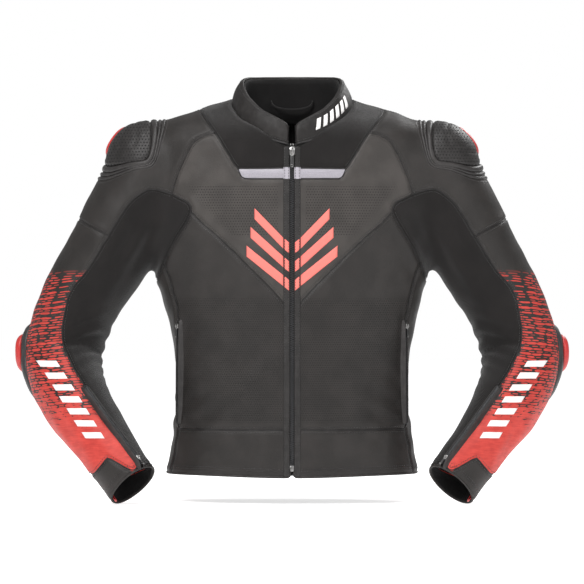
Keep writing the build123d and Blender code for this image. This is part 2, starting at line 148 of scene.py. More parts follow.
# Torso sections: height, half width, front set back from the front line, y of the back
ROWS = np.array([
    (0, 203, 0, 106), (50, 201, 0, 104), (84, 194, 0, 101), (119, 189, 0, 99),
    (154, 186, 0, 98), (200, 186, 0, 102), (244, 189, 0, 107), (284, 196, 0, 113),
    (324, 205, 0, 119), (352, 213, 0, 122), (378, 221, 0, 125), (404, 231, 0, 127.5),
    (430, 238, 0, 129), (465, 245, 0, 129.5), (500, 247, 0, 128), (528, 246, 0, 125),
    (550, 242, 0, 121), (570, 236, 0, 115), (585, 231, 2, 108), (596, 225, 7, 101),
    (604, 218, 13, 95), (612, 206, 21, 89), (618, 192, 28, 84), (624, 174, 35, 80),
    (631, 151, 42, 75), (639, 126, 49, 69), (647, 104, 55, 63), (655, 84, 62, 58),
    (668, 55, 72, 50), (680, 30, 84, 42),
], float)


def torso_section(z):
    """Half width, middle y and half depth of the torso."""
    dims = curve(z, ROWS[:, 0], ROWS[:, 1:])
    front = front_line(z) + dims[..., 1]
    back = dims[..., 2]
    return dims[..., 0], (front + back) / 2, (back - front) / 2


def torso_share(x, y, z):
    """Place between the torso's middle line (0) and its face (1), and its section."""
    wide, mid, deep = torso_section(z)
    across = (np.abs(x) / wide) ** TORSO_POWER
    through = (np.abs(y - mid) / deep) ** TORSO_POWER
    return (across + through) ** (1 / TORSO_POWER), wide, mid, deep


def torso_distance(pts):
    x, y, z = pts[:, 0], pts[:, 1], pts[:, 2]
    share, wide, mid, deep = torso_share(x, y, z)
    above = torso_share(x, y, z + 1.0)[0]
    safe = np.maximum(share, 0.05)
    slope_x = (np.abs(x) / wide) ** (TORSO_POWER - 1) / wide * safe ** (1 - TORSO_POWER)
    slope_y = (np.abs(y - mid) / deep) ** (TORSO_POWER - 1) / deep * safe ** (1 - TORSO_POWER)
    slope = np.sqrt(slope_x**2 + slope_y**2 + (above - share) ** 2)
    return (share - 1) / np.maximum(slope, 1e-4)


# Sleeve stations from shoulder to cuff: centre, outward direction, radius outwards, radius
# across it
STATIONS = [
    ((-188, 12, 491), (0, 0, 1), 108, 60),
    ((-212, 12, 489.5), (0, 0, 1), 109.5, 62),
    ((-237.5, 12, 484.5), (-0.176, 0, 0.984), 105, 66),
    ((-259, 12, 463), (-0.38, 0, 0.925), 91, 67),
    ((-286.5, 12, 416.5), (-0.807, 0, 0.59), 71, 66),
    ((-312.5, 15, 373), (-0.84, 0.20, 0.50), 67, 65),
    ((-341.1, 18, 322.3), (-0.80, 0.42, 0.42), 63.5, 62),
    ((-366, 25, 243), (-0.80, 0.59, -0.05), 62.5, 60),
    ((-358, -6, 195), (-0.79, 0.40, -0.46), 59.5, 57),
    ((-339, -32, 157.8), (-0.72, 0.33, -0.61), 55, 52),
    ((-305.5, -62, 110.9), (-0.67, 0.30, -0.68), 47.6, 44),
    ((-272, -90, 66.3), (-0.66, 0.30, -0.68), 45, 39),
    ((-250.4, -108, 37.7), (-0.66, 0.30, -0.68), 44, 36),
    ((-231, -124, 12), (-0.66, 0.30, -0.68), 43.5, 35.5),
]
# Normals of the first five sections, which lean less than the middle line bends
SHOULDER_NORMALS = np.array([
    (-1, 0, 0), (-1, 0, 0), (-0.984, 0, -0.176), (-0.925, 0, -0.38), (-0.59, 0.03, -0.807),
], float)
# Angle, in degrees, of the seam on the back of the sleeve at each station
BACK_SEAM = [84, 84, 86, 91, 90, 88, 84, 84, 90, 100, 110, 118, 120, 120]

CENTRES = np.array([s[0] for s in STATIONS], float)
REACH = np.concatenate([[0], np.cumsum(norm(np.diff(CENTRES, axis=0), axis=1))])
SPLIT_AT, ELBOW_AT, CUFF_AT = REACH[6], REACH[7], REACH[12]
SLICES = 150
ALONG = np.linspace(0, REACH[-1], SLICES)
MIDDLE = curve(ALONG, REACH, CENTRES)
HEADING = unit(np.gradient(MIDDLE, ALONG, axis=0))
_mix = ease((ALONG - REACH[4]) / (REACH[5] - REACH[4]))[:, None]
NORMAL = unit(
    curve(np.minimum(ALONG, REACH[4]), REACH[:5], SHOULDER_NORMALS) * (1 - _mix) + HEADING * _mix
)
_out = curve(ALONG, REACH, np.array([s[1] for s in STATIONS], float))
OUTWARD = unit(_out - NORMAL * (_out * NORMAL).sum(1, keepdims=True))
BACKWARD = np.cross(NORMAL, OUTWARD)
RADII = curve(ALONG, REACH, np.array([s[2:] for s in STATIONS], float))
BACK_ANGLE = np.radians(np.interp(ALONG, REACH, BACK_SEAM))


def slice_at(reach):
    return int(np.argmin(np.abs(ALONG - reach)))


CUFF_CENTRE, CUFF_NORMAL = CENTRES[12], NORMAL[slice_at(CUFF_AT)]


def sleeve(pts, chunk=100000):
    """Distance to the sleeve, place along it, angle round it and depth behind its middle."""
    found = np.empty((len(pts), 4))
    squares = (MIDDLE**2).sum(1)
    gap = ALONG[1] - ALONG[0]
    for k in range(0, len(pts), chunk):
        here = pts[k : k + chunk]
        i = np.argmin(squares[None] - 2 * here @ MIDDLE.T, axis=1)
        ahead = ((here - MIDDLE[i]) * NORMAL[i]).sum(1) / gap
        spot = np.clip(i + ahead, 0, SLICES - 1.001)
        for _ in range(4):
            # Newton steps to the place whose section holds the point
            j = spot.astype(int)
            part = (spot - j)[:, None]
            rel = here - (MIDDLE[j] * (1 - part) + MIDDLE[j + 1] * part)
            turn = (NORMAL[j + 1] - NORMAL[j]) / gap
            normal = NORMAL[j] * (1 - part) + NORMAL[j + 1] * part
            error = (rel * normal).sum(1)
            rate = np.maximum((normal * HEADING[j]).sum(1) - (rel * turn).sum(1), 0.35)
            spot = np.clip(spot + np.clip(error / rate / gap, -3, 3), 0, SLICES - 1.001)
        j = spot.astype(int)
        part = (spot - j)[:, None]
        centre, normal, out, back, radii = (
            table[j] * (1 - part) + table[j + 1] * part
            for table in (MIDDLE, NORMAL, OUTWARD, BACKWARD, RADII)
        )
        rel = here - centre
        outs, backs, error = ((rel * axis).sum(1) for axis in (out, back, normal))
        wide, deep = radii[:, 0], radii[:, 1]
        share = np.sqrt((outs / wide) ** 2 + (backs / deep) ** 2)
        slope = np.sqrt((outs / wide**2) ** 2 + (backs / deep**2) ** 2)
        slope = slope / np.maximum(share, 0.05)
        dist = (share - 1) / np.maximum(slope, 1e-4)
        past_end = (spot < 0.01) | (spot > SLICES - 1.02)
        dist = np.where(past_end, np.maximum(dist, np.abs(error) - 2.0), dist)
        angle = np.arctan2(backs / deep, outs / wide)
        found[k : k + chunk] = np.stack([dist, spot * gap, angle, backs], 1)
    return found.T


def body(pts):
    """Distance to the garment's outer face, negative inside. Works on either side."""
    pts = np.array(pts, float)
    pts[:, 0] = -np.abs(pts[:, 0])
    arm = np.full(len(pts), 300.0)
    near = pts[:, 0] < -120
    if near.any():
        arm[near] = sleeve(pts[near])[0]
    dist = soft_min(torso_distance(pts), arm)
    # the rounded point of the shoulder
    rel = (pts - SHOULDER_POINT) / SHOULDER_RADII
    share = np.sqrt((rel**2).sum(1))
    slope = np.maximum(np.sqrt(((rel / SHOULDER_RADII) ** 2).sum(1)), 1e-5)
    ball = (share - 1) * share / slope
    return np.where(ball < 60, soft_min(dist, ball), dist)


def body_slope(pts, reach=0.6):
    slope = np.empty((len(pts), 3))
    for i in range(3):
        move = np.zeros(3)
        move[i] = reach
        slope[:, i] = (body(pts + move) - body(pts - move)) / (2 * reach)
    return slope


def settle(pts, rounds=2):
    """Moves points onto the outer face. Gives them and the normals there."""
    pts = np.array(pts, float)
    for _ in range(rounds):
        slope = body_slope(pts)
        steep = np.maximum((slope**2).sum(1, keepdims=True), 0.04)
        pts = pts - np.clip(body(pts), -6, 6)[:, None] * slope / steep
    return pts, unit(body_slope(pts))


def waves(pts, seed, size, count=9):
    """Random waves about as long as size."""
    draw = np.random.RandomState(seed)
    total = np.zeros(len(pts))
    for _ in range(count):
        way = unit(draw.normal(size=3))
        rate = 2 * math.pi / (size * draw.uniform(0.7, 1.5))
        total += np.sin(pts @ way * rate + draw.uniform(0, 6.28))
    return total / math.sqrt(count)


def folds(dist, reach, depth, phase, spacing):
    """Parallel folds that fade with distance."""
    return depth * bell(dist, 0, reach) * np.sin(phase * 2 * math.pi / spacing)


def relief(pts):
    """How far the cloth stands off the drafted face: soft folds, none beside the front zip."""
    y, z = pts[:, 1], pts[:, 2]
    side = np.abs(pts[:, 0])
    right = pts.copy()
    right[:, 0] = -side
    keep = ease((side - 16) / 50)
    total = keep * (1.1 * waves(pts * [1, 1, 0.55], 3, 95) + 0.45 * waves(pts, 7, 38))
    # inner elbow
    dist = norm(right - np.array([-318, 0, 252]), axis=1)
    total += folds(dist, 48, 2.3, z + 0.35 * side + 8 * np.sin(y / 23), 21)
    # down the upper arm and under it
    dist = norm((right - np.array([-245, -25, 395])) * [1, 0.7, 0.9], axis=1)
    total += folds(dist, 55, 1.9, side * 0.8 + z * 0.45, 27)
    # side of the waist
    dist = np.hypot((side - 165) / 55, (z - 150) / 60)
    total += keep * folds(dist, 1, 1.6, z * 0.9 + side * 0.5, 34)
    # long soft creases of the forearm
    dist = norm((right - np.array([-318, -50, 125])) * [0.8, 0.8, 0.8], axis=1)
    total += folds(dist, 60, 0.9, side * 0.74 - z * 0.5 + y * 0.3, 26)
    # flat beside the pocket zips
    line = ease((np.hypot(side - 181, y + 43) - 8) / 18)
    pocket = ease((z - 100) / 25) * ease((325 - z) / 25)
    total *= 1 - pocket * (1 - line)
    # calmer at the hem
    hem = ease((z - 40) / 25) * 0.6 + 0.4
    return total * np.where(side < 215, hem, 1.0)


# ------------------------------------------------------------------ base mesh of the right half
def grid_mesh():
    """Surface net of body(): a point in each crossed cell, a quad round each crossed edge."""
    ticks = [np.arange(low, high, STEP) for low, high in GRID_BOX]
    nodes = np.stack(np.meshgrid(*ticks, indexing="ij"), -1)
    field = body(nodes.reshape(-1, 3)).reshape(nodes.shape[:3])
    shape = field.shape
    inside = field < 0
    corners = list(itertools.product((0, 1), repeat=3))
    count = sum(
        inside[tuple(slice(c, size - 1 + c) for c, size in zip(corner, shape))]
        for corner in corners
    )
    active = (count > 0) & (count < 8)
    index = -np.ones(active.shape, int)
    index[active] = np.arange(active.sum())
    total = np.zeros((active.sum(), 3))
    hits = np.zeros(active.sum())
    cells = np.argwhere(active)
    for one in corners:
        for two in corners:
            if sum(abs(i - j) for i, j in zip(one, two)) == 1 and one < two:
                start = cells + one
                end = cells + two
                at_start = field[tuple(start.T)]
                at_end = field[tuple(end.T)]
                hit = (at_start < 0) != (at_end < 0)
                part = (at_start[hit] / (at_start[hit] - at_end[hit]))[:, None]
                total[hit] += start[hit] * (1 - part) + end[hit] * part
                hits[hit] += 1
    pts = total / hits[:, None] * STEP + np.array([t[0] for t in ticks])
    quads = []
    for axis in range(3):
        others = [(1, 2), (2, 0), (0, 1)][axis]
        here = [slice(1, size - 1) for size in shape]
        here[axis] = slice(0, shape[axis] - 1)
        ahead = list(here)
        ahead[axis] = slice(1, shape[axis])
        now_in, next_in = inside[tuple(here)], inside[tuple(ahead)]
        for leaving in (True, False):
            base = np.argwhere((now_in != next_in) & (now_in == leaving))
            for other in others:
                base[:, other] += 1
            quad = []
            for back_one, back_two in ((0, 0), (1, 0), (1, 1), (0, 1)):
                cell = base.copy()
                cell[:, others[0]] -= back_one
                cell[:, others[1]] -= back_two
                quad.append(index[tuple(cell.T)])
            quad = np.stack(quad, 1)
            quads.append(quad if leaving else quad[:, ::-1])
    quads = np.concatenate(quads)
    quads = quads[(quads >= 0).all(1)]
    return pts, np.concatenate([quads[:, [0, 1, 2]], quads[:, [0, 2, 3]]])


def compact(tris, count):
    """The points that the triangles use, and the triangles numbered by them."""
    used = np.unique(tris)
    index = -np.ones(count, int)
    index[used] = np.arange(len(used))
    return used, index[tris]


class Cloth:
    """A triangle mesh that is cut along the zero lines of fields, so they run on its edges."""

    def __init__(self, points, tris):
        self.points = points
        self.tris = tris
        self.marks = {}

    def split(self, field_of, snap=0.3):
        """Cuts along the field's zero line. Tells which triangles are on the negative side."""
        pts, tris = self.points, self.tris
        field = field_of(pts).astype(float)
        edges = np.sort(np.concatenate([tris[:, [0, 1]], tris[:, [1, 2]], tris[:, [2, 0]]]), 1)
        edges = np.unique(edges, axis=0)
        length = norm(pts[edges[:, 0]] - pts[edges[:, 1]], axis=1)

        def crossed():
            start, end = field[edges[:, 0]], field[edges[:, 1]]
            # a bigger jump than this is a break in the field, not a crossing
            hit = (start * end < 0) & (np.abs(start - end) < 3.5 * length + 2)
            part = start[hit] / (start[hit] - end[hit])
            where = pts[edges[hit, 0]] * (1 - part[:, None]) + pts[edges[hit, 1]] * part[:, None]
            return edges[hit], part, where

        # points close to the line move onto it, the closest last
        hit, part, where = crossed()
        low, high = part < snap, part > 1 - snap
        moved = np.concatenate([hit[low][:, 0], hit[high][:, 1]])
        order = np.argsort(-np.concatenate([part[low], 1 - part[high]]))
        pts[moved[order]] = np.concatenate([where[low], where[high]])[order]
        field[moved] = 0.0

        # the other crossed edges get a new point
        hit, _, where = crossed()
        count = len(pts)
        keys = hit[:, 0].astype(np.int64) * (count + 1) + hit[:, 1]

        def middle(one, two):
            key = np.minimum(one, two).astype(np.int64) * (count + 1) + np.maximum(one, two)
            j = np.clip(np.searchsorted(keys, key), 0, len(keys) - 1)
            return np.where(keys[j] == key, j + count, -1)

        mids = np.stack([middle(tris[:, i], tris[:, (i + 1) % 3]) for i in range(3)], 1)
        cuts = (mids >= 0).sum(1)
        pieces = [tris[cuts == 0]]
        source = [np.where(cuts == 0)[0]]
        for turn in range(3):
            corner = np.roll(tris, -turn, axis=1)
            mid = np.roll(mids, -turn, axis=1)
            # both edges at the first corner are crossed
            rows = np.where((cuts == 2) & (mid[:, 0] >= 0) & (mid[:, 2] >= 0))[0]
            one, two, three = corner[rows].T
            first, last = mid[rows, 0], mid[rows, 2]
            pieces.append(np.stack([one, first, last], 1))
            pieces.append(np.stack([first, two, three], 1))
            pieces.append(np.stack([first, three, last], 1))
            source += [rows] * 3
            # only the first edge is crossed
            rows = np.where((cuts == 1) & (mid[:, 0] >= 0))[0]
            one, two, three = corner[rows].T
            first = mid[rows, 0]
            pieces.append(np.stack([one, first, three], 1))
            pieces.append(np.stack([first, two, three], 1))
            source += [rows] * 2
        self.points = np.concatenate([pts, where])
        field = np.concatenate([field, np.zeros(len(where))])
        self.tris = np.concatenate(pieces)
        source = np.concatenate(source)
        self.marks = {name: mark[source] for name, mark in self.marks.items()}
        values = field[self.tris]
        strongest = np.argmax(np.abs(values), axis=1)
        return values[np.arange(len(values)), strongest] < 0

    def trim(self, field_of, negative):
        """Keeps only the negative or only the positive side."""
        side = self.split(field_of)
        used, self.tris = compact(self.tris[side == negative], len(self.points))
        self.points = self.points[used]

    def mark(self, name, field_of):
        self.marks[name] = self.split(field_of)


# ------------------------------------------------------------------ front patterns
# Front seams and prints are drawn on an upright sheet at y = 0, as (distance out from the
# middle, height), and thrown onto the garment from an eye point in front of it.
EYE_DISTANCE = 3200
EYE_HEIGHT = 340
SHEET_FIELD_SCALE = 0.96875  # field value per millimetre on the sheet


def on_sheet(pts):
    spread = (EYE_DISTANCE + pts[:, 1]) / EYE_DISTANCE
    height = EYE_HEIGHT + (pts[:, 2] - EYE_HEIGHT) / spread
    return np.stack([np.abs(pts[:, 0]) / spread, height], 1)


def outline_field(outline, spots):
    """Scaled distance to a closed outline on the sheet, negative inside."""
    starts = np.array(outline, float)
    nearest = np.full(len(spots), 1e9)
    inside = np.zeros(len(spots), bool)
    for start, end in zip(starts, np.roll(starts, -1, axis=0)):
        edge = end - start
        rel = spots - start
        part = np.clip((rel @ edge) / max(edge @ edge, 1e-9), 0, 1)
        nearest = np.minimum(nearest, ((rel - part[:, None] * edge) ** 2).sum(1))
        spans = (start[1] > spots[:, 1]) != (end[1] > spots[:, 1])
        rise = end[1] - start[1] + 1e-12
        cross = start[0] + (spots[:, 1] - start[1]) * edge[0] / rise
        inside ^= spans & (spots[:, 0] < cross)
    return np.where(inside, -1, 1) * np.sqrt(nearest) * SHEET_FIELD_SCALE


YOKE = [
    (-12.8, 743.2), (145.6, 743.2), (145.6, 628.0), (125.28, 598.56), (89.6, 540.0),
    (-12.8, 541.6),
]
STRIPE = [(-12.8, 541.6), (89.6, 540.0), (80.8, 524.0), (-12.8, 524.0)]
CHEST = [
    (-12.8, 541.6), (89.6, 540.0), (125.28, 598.56), (138.4, 595.36), (152.0, 588.8),
    (161.28, 580.64), (166.4, 570.72), (177.6, 548.0), (187.36, 523.52), (195.2, 498.08),
    (165.44, 484.0), (163.2, 469.6), (144.48, 450.4), (121.92, 431.36), (96.0, 406.88),
    (57.6, 368.8), (32.0, 343.2), (12.48, 321.6), (-12.8, 292.0),
]
STRETCH = [
    (195.2, 498.08), (165.44, 484.0), (162.88, 477.6), (163.2, 469.6), (169.6, 453.6),
    (182.4, 434.4), (195.2, 412.0), (206.4, 388.0), (214.4, 360.8), (243.2, 311.2),
    (187.2, 55.2), (195.2, 23.2), (246.56, 60.64), (266.56, 84.96), (298.08, 124.0),
    (312.32, 146.4), (329.6, 178.4), (352.96, 217.44), (365.92, 247.2), (370.88, 268.0),
    (369.6, 287.2), (365.92, 308.0), (361.12, 332.0), (349.6, 352.8), (331.68, 372.64),
    (315.2, 398.4), (300.8, 423.2), (294.4, 432.8), (278.4, 460.0), (267.2, 477.6),
    (257.6, 488.8), (247.2, 496.8), (238.4, 503.2), (230.4, 506.4), (220.8, 506.4),
]
CUFF = [
    (371.2, 55.2), (322.4, 44.0), (301.6, 71.2), (259.52, 46.4), (248.0, 61.6),
    (163.2, 55.2), (163.2, -56.8), (371.2, -56.8),
]


# ------------------------------------------------------------------ cutting fields
def is_arm(pts, arm_distance):
    return (arm_distance < torso_distance(pts)) & (pts[:, 0] < -150)


def on_sleeve(pts):
    return is_arm(pts, sleeve(pts)[0])


def hem_field(pts):
    # the hem dips towards the middle of the front
    dip = 3.5 * ease(1 - np.abs(pts[:, 0]) / 180) * (pts[:, 1] < 0)
    return np.where(on_sleeve(pts), 10.0, pts[:, 2] - 53.0 + dip)


def neck_field(pts):
    share = np.hypot(pts[:, 0] / 97.0, (pts[:, 1] + 9) / 80.5)
    return np.where(pts[:, 2] > 545, (share - 1) * 85, 20.0)


def cuff_field(pts):
    dist, along, _, _ = sleeve(pts)
    near = (dist < torso_distance(pts)) & (along > CUFF_AT - 70)
    return np.where(near, (CUFF_CENTRE - pts) @ CUFF_NORMAL, 20.0)


def slot_field(pts):
    return np.where(pts[:, 1] < 0, pts[:, 0] + SLOT_X, -30.0)


def back_field(pts):
    edge = np.interp(pts[:, 2], [371, 400], [50, 8])
    return np.maximum(edge - pts[:, 1], -205 - pts[:, 0])


def stretch_field(pts):
    dist, along, angle, behind = sleeve(pts)
    arm = is_arm(pts, dist)
    front = outline_field(STRETCH, on_sheet(pts))
    front = np.where(~arm & (pts[:, 2] < 215), 30.0, front)
    back = (np.interp(along, ALONG, BACK_ANGLE) - angle) * 60
    return np.where(arm & (behind > 0), back, front)


def front_only(outline):
    """Field of an outline on the sheet, for the front half of torso and sleeve."""
    def field(pts):
        dist, _, _, behind = sleeve(pts)
        forward = np.where(is_arm(pts, dist), -behind, 14 - pts[:, 1])
        return np.where(forward > 0, outline_field(outline, on_sheet(pts)), 30.0)
    return field


def side_field(pts):
    edge = np.interp(pts[:, 2], [0, 330, 440], [-46, -46, -36])
    return np.where((pts[:, 2] < 440) & ~on_sleeve(pts), edge - pts[:, 1], 30.0)


def back_arc_field(height, bend):
    """A line across the back that bends down or up with distance from the middle."""
    def field(pts):
        return np.where(pts[:, 1] > 0, height + bend * pts[:, 0] ** 2 - pts[:, 2], 30.0)
    return field


def beyond_x150_field(pts):
    return np.where((pts[:, 1] > 0) & (pts[:, 2] > 380), -150.0 - pts[:, 0], 30.0)


def across_arm_field(point, normal):
    def field(pts):
        return np.where(pts[:, 0] < -225, (pts - point) @ normal, -30.0)
    return field


def cuff_band_field(pts):
    dist, along, angle, behind = sleeve(pts)
    back = (CUFF_AT - 27 - 18 * np.cos(angle)) - along
    field = np.where(behind > 0, back, outline_field(CUFF, on_sheet(pts)))
    return np.where(is_arm(pts, dist) & (along > CUFF_AT - 90), field, 30.0)


def cut_cloth():
    pts, tris = grid_mesh()
    pts, _ = settle(pts, 3)
    normals = np.cross(pts[tris[:, 1]] - pts[tris[:, 0]], pts[tris[:, 2]] - pts[tris[:, 0]])
    outward = pts[tris].mean(1) - np.array([0, 0, 300])
    if (normals * outward)[:, :2].sum() < 0:
        tris = tris[:, ::-1]
    cloth = Cloth(pts, tris)
    cloth.trim(lambda pts: pts[:, 0], negative=True)
    cloth.trim(neck_field, negative=False)
    cloth.trim(hem_field, negative=False)
    cloth.trim(cuff_field, negative=False)
    cloth.trim(slot_field, negative=True)
    split = slice_at(SPLIT_AT)
    arm_normal = unit(np.array([-0.454, 0.03, -0.891]))
    for name, field in (
        ("back", back_field),
        ("stretch", stretch_field),
        ("yoke", front_only(YOKE)),
        ("stripe", front_only(STRIPE)),
        ("chest", front_only(CHEST)),
        ("waist", lambda pts: np.where(on_sleeve(pts), 30.0, pts[:, 2] - 123.0)),
        ("side", side_field),
        ("upper", back_arc_field(428.0, 0.0005)),
        ("above_band", back_arc_field(462.0, -0.0006)),
        ("within_x150", beyond_x150_field),
        ("arm", across_arm_field(np.array([-320.0, 12, 446]), arm_normal)),
        ("split", across_arm_field(MIDDLE[split], NORMAL[split])),
        ("cuff_band", cuff_band_field),
    ):
        cloth.mark(name, field)
    return cloth


cloth = cut_cloth()
points, normals = settle(cloth.points, 2)
middle = np.abs(cloth.points[:, 0]) < 1e-3
slot_edge = (np.abs(cloth.points[:, 0] + SLOT_X) < 0.05) & (cloth.points[:, 1] < 0)
points[middle, 0] = 0.0
points[slot_edge, 0] = -SLOT_X
normals[middle, 0] = 0.0
tris = cloth.tris
centres = points[tris].mean(1)
arm_tris = on_sleeve(centres)


def name_panels():
    """Names the panel of each triangle. Later rules win."""
    mark = cloth.marks
    x, z = centres[:, 0], centres[:, 2]
    torso = ~arm_tris
    back = mark["back"] & ~(arm_tris & (x < -215))
    band = mark["upper"] & ~mark["above_band"] & mark["within_x150"]
    names = np.full(len(tris), "lower_front", dtype=object)
    for name, where in (
        ("waist_front", mark["waist"] & torso),
        ("side", mark["side"] & torso & (z < 440)),
        ("shoulder", torso & (z > 468) & (x < -120)),
        ("shoulder", torso & (z > 560)),
        ("shoulder", arm_tris),
        ("sleeve_leather", arm_tris & ~mark["arm"]),
        ("chest", mark["chest"]),
        ("stripe", mark["stripe"]),
        ("yoke", mark["yoke"] & torso),
        ("stretch_upper", mark["stretch"] & mark["split"]),
        ("stretch_lower", mark["stretch"] & ~mark["split"]),
        ("stretch_upper", mark["stretch"] & torso & (z > 340)),
        ("cuff_band", mark["cuff_band"] & arm_tris),
        ("back_lower", back),
        ("back_upper", back & mark["upper"]),
        ("back_bellows", back & band),
        ("waist_back", back & mark["waist"] & torso),
    ):
        names[where] = name
    names[(names == "stretch_upper") & (z < 250) & arm_tris] = "stretch_lower"
    return names


panel_of = name_panels()


# ------------------------------------------------------------------ mesh helpers
# A mesh is a pair: points and faces.
def flipped(faces):
    return [list(face)[::-1] for face in faces]


def mirror(mesh):
    return mesh[0] * [-1.0, 1, 1], flipped(mesh[1])


def to_side(mesh, side):
    """A right-hand mesh, mirrored for the left."""
    return mirror(mesh) if side == "left" else mesh


def moved(mesh, offset):
    return mesh[0] + offset, mesh[1]


def join(meshes):
    pts, faces, count = [], [], 0
    for part, part_faces in meshes:
        part = np.asarray(part, float).reshape(-1, 3)
        pts.append(part)
        faces += [[int(i) + count for i in face] for face in part_faces]
        count += len(part)
    return np.concatenate(pts), faces


def loft(grid, closed=False):
    """Joins rings of points (rings, points per ring, xyz), with end caps unless closed."""
    rings, size = grid.shape[:2]
    faces = []
    for i in range(rings if closed else rings - 1):
        here, ahead = i * size, (i + 1) % rings * size
        for j in range(size):
            k = (j + 1) % size
            faces.append([here + j, here + k, ahead + k, ahead + j])
    if not closed:
        faces.append(list(range(size))[::-1])
        faces.append([(rings - 1) * size + j for j in range(size)])
    return grid.reshape(-1, 3), faces


def facing(mesh, out):
    """The mesh, flipped if its first face looks away from out."""
    pts, faces = mesh
    one, two, three = (pts[i] for i in faces[0][:3])
    if np.cross(two - one, three - one) @ out < 0:
        faces = flipped(faces)
    return pts, faces


def block(size, bevel, segments):
    """A small machined block with rounded edges."""
    bm = bmesh.new()
    bmesh.ops.create_cube(bm, size=1.0)
    for vert in bm.verts:
        vert.co.x *= size[0]
        vert.co.y *= size[1]
        vert.co.z *= size[2]
    bmesh.ops.bevel(
        bm, geom=bm.edges[:], offset=bevel, segments=segments, affect="EDGES", profile=0.5
    )
    pts = np.array([v.co for v in bm.verts])
    faces = [[v.index for v in face.verts] for face in bm.faces]
    bm.free()
    return pts, faces


def stacked(rings):
    """Flat outlines at heights, as rings for loft."""
    return np.stack([np.column_stack([ring, np.full(len(ring), z)]) for ring, z in rings])


def plate(outline, low, high, bevel):
    """A stamped plate with a rounded rim."""
    rim = np.array(outline, float)
    centre = rim.mean(0)
    rel = rim - centre
    inner = centre + rel * (1 - bevel / np.maximum(norm(rel, axis=1, keepdims=True), 1e-6))
    return loft(stacked([(inner, low), (rim, low + bevel), (rim, high - bevel), (inner, high)]))


def ring_plate(outline, centre, radius, low, high, bevel):
    """A plate with one round hole."""
    rim = np.array(outline, float)
    rel = rim - centre
    angle = np.arctan2(rel[:, 1], rel[:, 0])

    def circle(size):
        return np.stack([centre[0] + size * np.cos(angle), centre[1] + size * np.sin(angle)], 1)

    hole, wide_hole = circle(radius), circle(radius + bevel)
    inner = centre + rel * (1 - bevel / norm(rel, axis=1, keepdims=True))
    return loft(stacked([
        (hole, low + bevel), (wide_hole, low), (inner, low), (rim, low + bevel),
        (rim, high - bevel), (inner, high), (wide_hole, high), (hole, high - bevel),
    ]), closed=True)


def tube(line, radius, segments, up, flat=1.0, closed=False):
    """A cord along points. flat is its section's size along up over its size across."""
    line = np.asarray(line, float)
    if closed:
        along = unit(np.roll(line, -1, 0) - np.roll(line, 1, 0))
    else:
        along = unit(np.gradient(line, axis=0))
    up = np.broadcast_to(up, line.shape)
    up = unit(up - along * (up * along).sum(1, keepdims=True))
    across = np.cross(along, up)
    radius = np.broadcast_to(np.asarray(radius, float), (len(line),))[:, None]
    grid = []
    for k in range(segments):
        angle = 2 * math.pi * k / segments
        rise = up * radius * flat * math.sin(angle)
        grid.append(line + across * radius * math.cos(angle) + rise)
    return loft(np.stack(grid, 1), closed)


def place(mesh, origin, axes):
    pts = mesh[0]
    offset = pts[:, :1] * axes[0] + pts[:, 1:2] * axes[1] + pts[:, 2:3] * axes[2]
    return origin + offset, mesh[1]


def scatter(template, origins, axes):
    """Copies of a small mesh at many places, each with its own axes."""
    pts, faces = template
    axis_x, axis_y, axis_z = (np.broadcast_to(a, origins.shape)[:, None] for a in axes)
    copies = origins[:, None] + pts[None, :, :1] * axis_x
    copies = copies + pts[None, :, 1:2] * axis_y + pts[None, :, 2:3] * axis_z
    every = []
    for i in range(len(origins)):
        every += [[v + i * len(pts) for v in face] for face in faces]
    return copies.reshape(-1, 3), every


def resample(line, step):
    line = np.asarray(line, float)
    reach = np.concatenate([[0], np.cumsum(norm(np.diff(line, axis=0), axis=1))])
    count = max(int(round(reach[-1] / step)), 2)
    spots = np.linspace(0, reach[-1], count + 1)
    return np.stack([np.interp(spots, reach, line[:, i]) for i in range(3)], 1)


def fair(line, rounds=6):
    line = line.copy()
    for _ in range(rounds):
        line[1:-1] = line[1:-1] * 0.5 + (line[:-2] + line[2:]) * 0.25
    return line


def fair_loop(line, rounds):
    for _ in range(rounds):
        line = line * 0.5 + (np.roll(line, 1, 0) + np.roll(line, -1, 0)) * 0.25
    return line


def draped(pts, flip, rounds):
    """Points on the cloth of one side with its folds, drafted on the right, and the normals."""
    pts, out = settle(pts, rounds)
    return pts + out * relief(pts * flip)[:, None], out


def march(pts, heading, steps, tolerance=0.0):
    """Walks points along their headings until they meet the garment."""
    for _ in range(steps):
        dist = body(pts)
        pts = pts + heading * np.clip(dist * 0.8, -3, 12)[:, None]
        if np.abs(dist).max() < tolerance:
            break
    return pts


def ray_front(x, z):
    """Where lines along Y meet the front of the garment."""
    start = np.stack([np.asarray(x, float), np.full(len(x), -175.0), np.asarray(z, float)], 1)
    return march(start, np.array([0.0, 1, 0]), steps=60, tolerance=0.05)


def thrown(spots):
    """Where spots of the sheet land on the right front of the garment."""
    across, height = np.asarray(spots, float).T
    rays = np.stack([-across, np.full(len(across), float(EYE_DISTANCE)), height - EYE_HEIGHT], 1)
    length = norm(rays, axis=1, keepdims=True)
    rays = rays / length
    start = (EYE_DISTANCE - 185) / (EYE_DISTANCE / length[:, 0])
    return march(
        np.array([0.0, -EYE_DISTANCE, EYE_HEIGHT]) + rays * start[:, None], rays, steps=80
    )


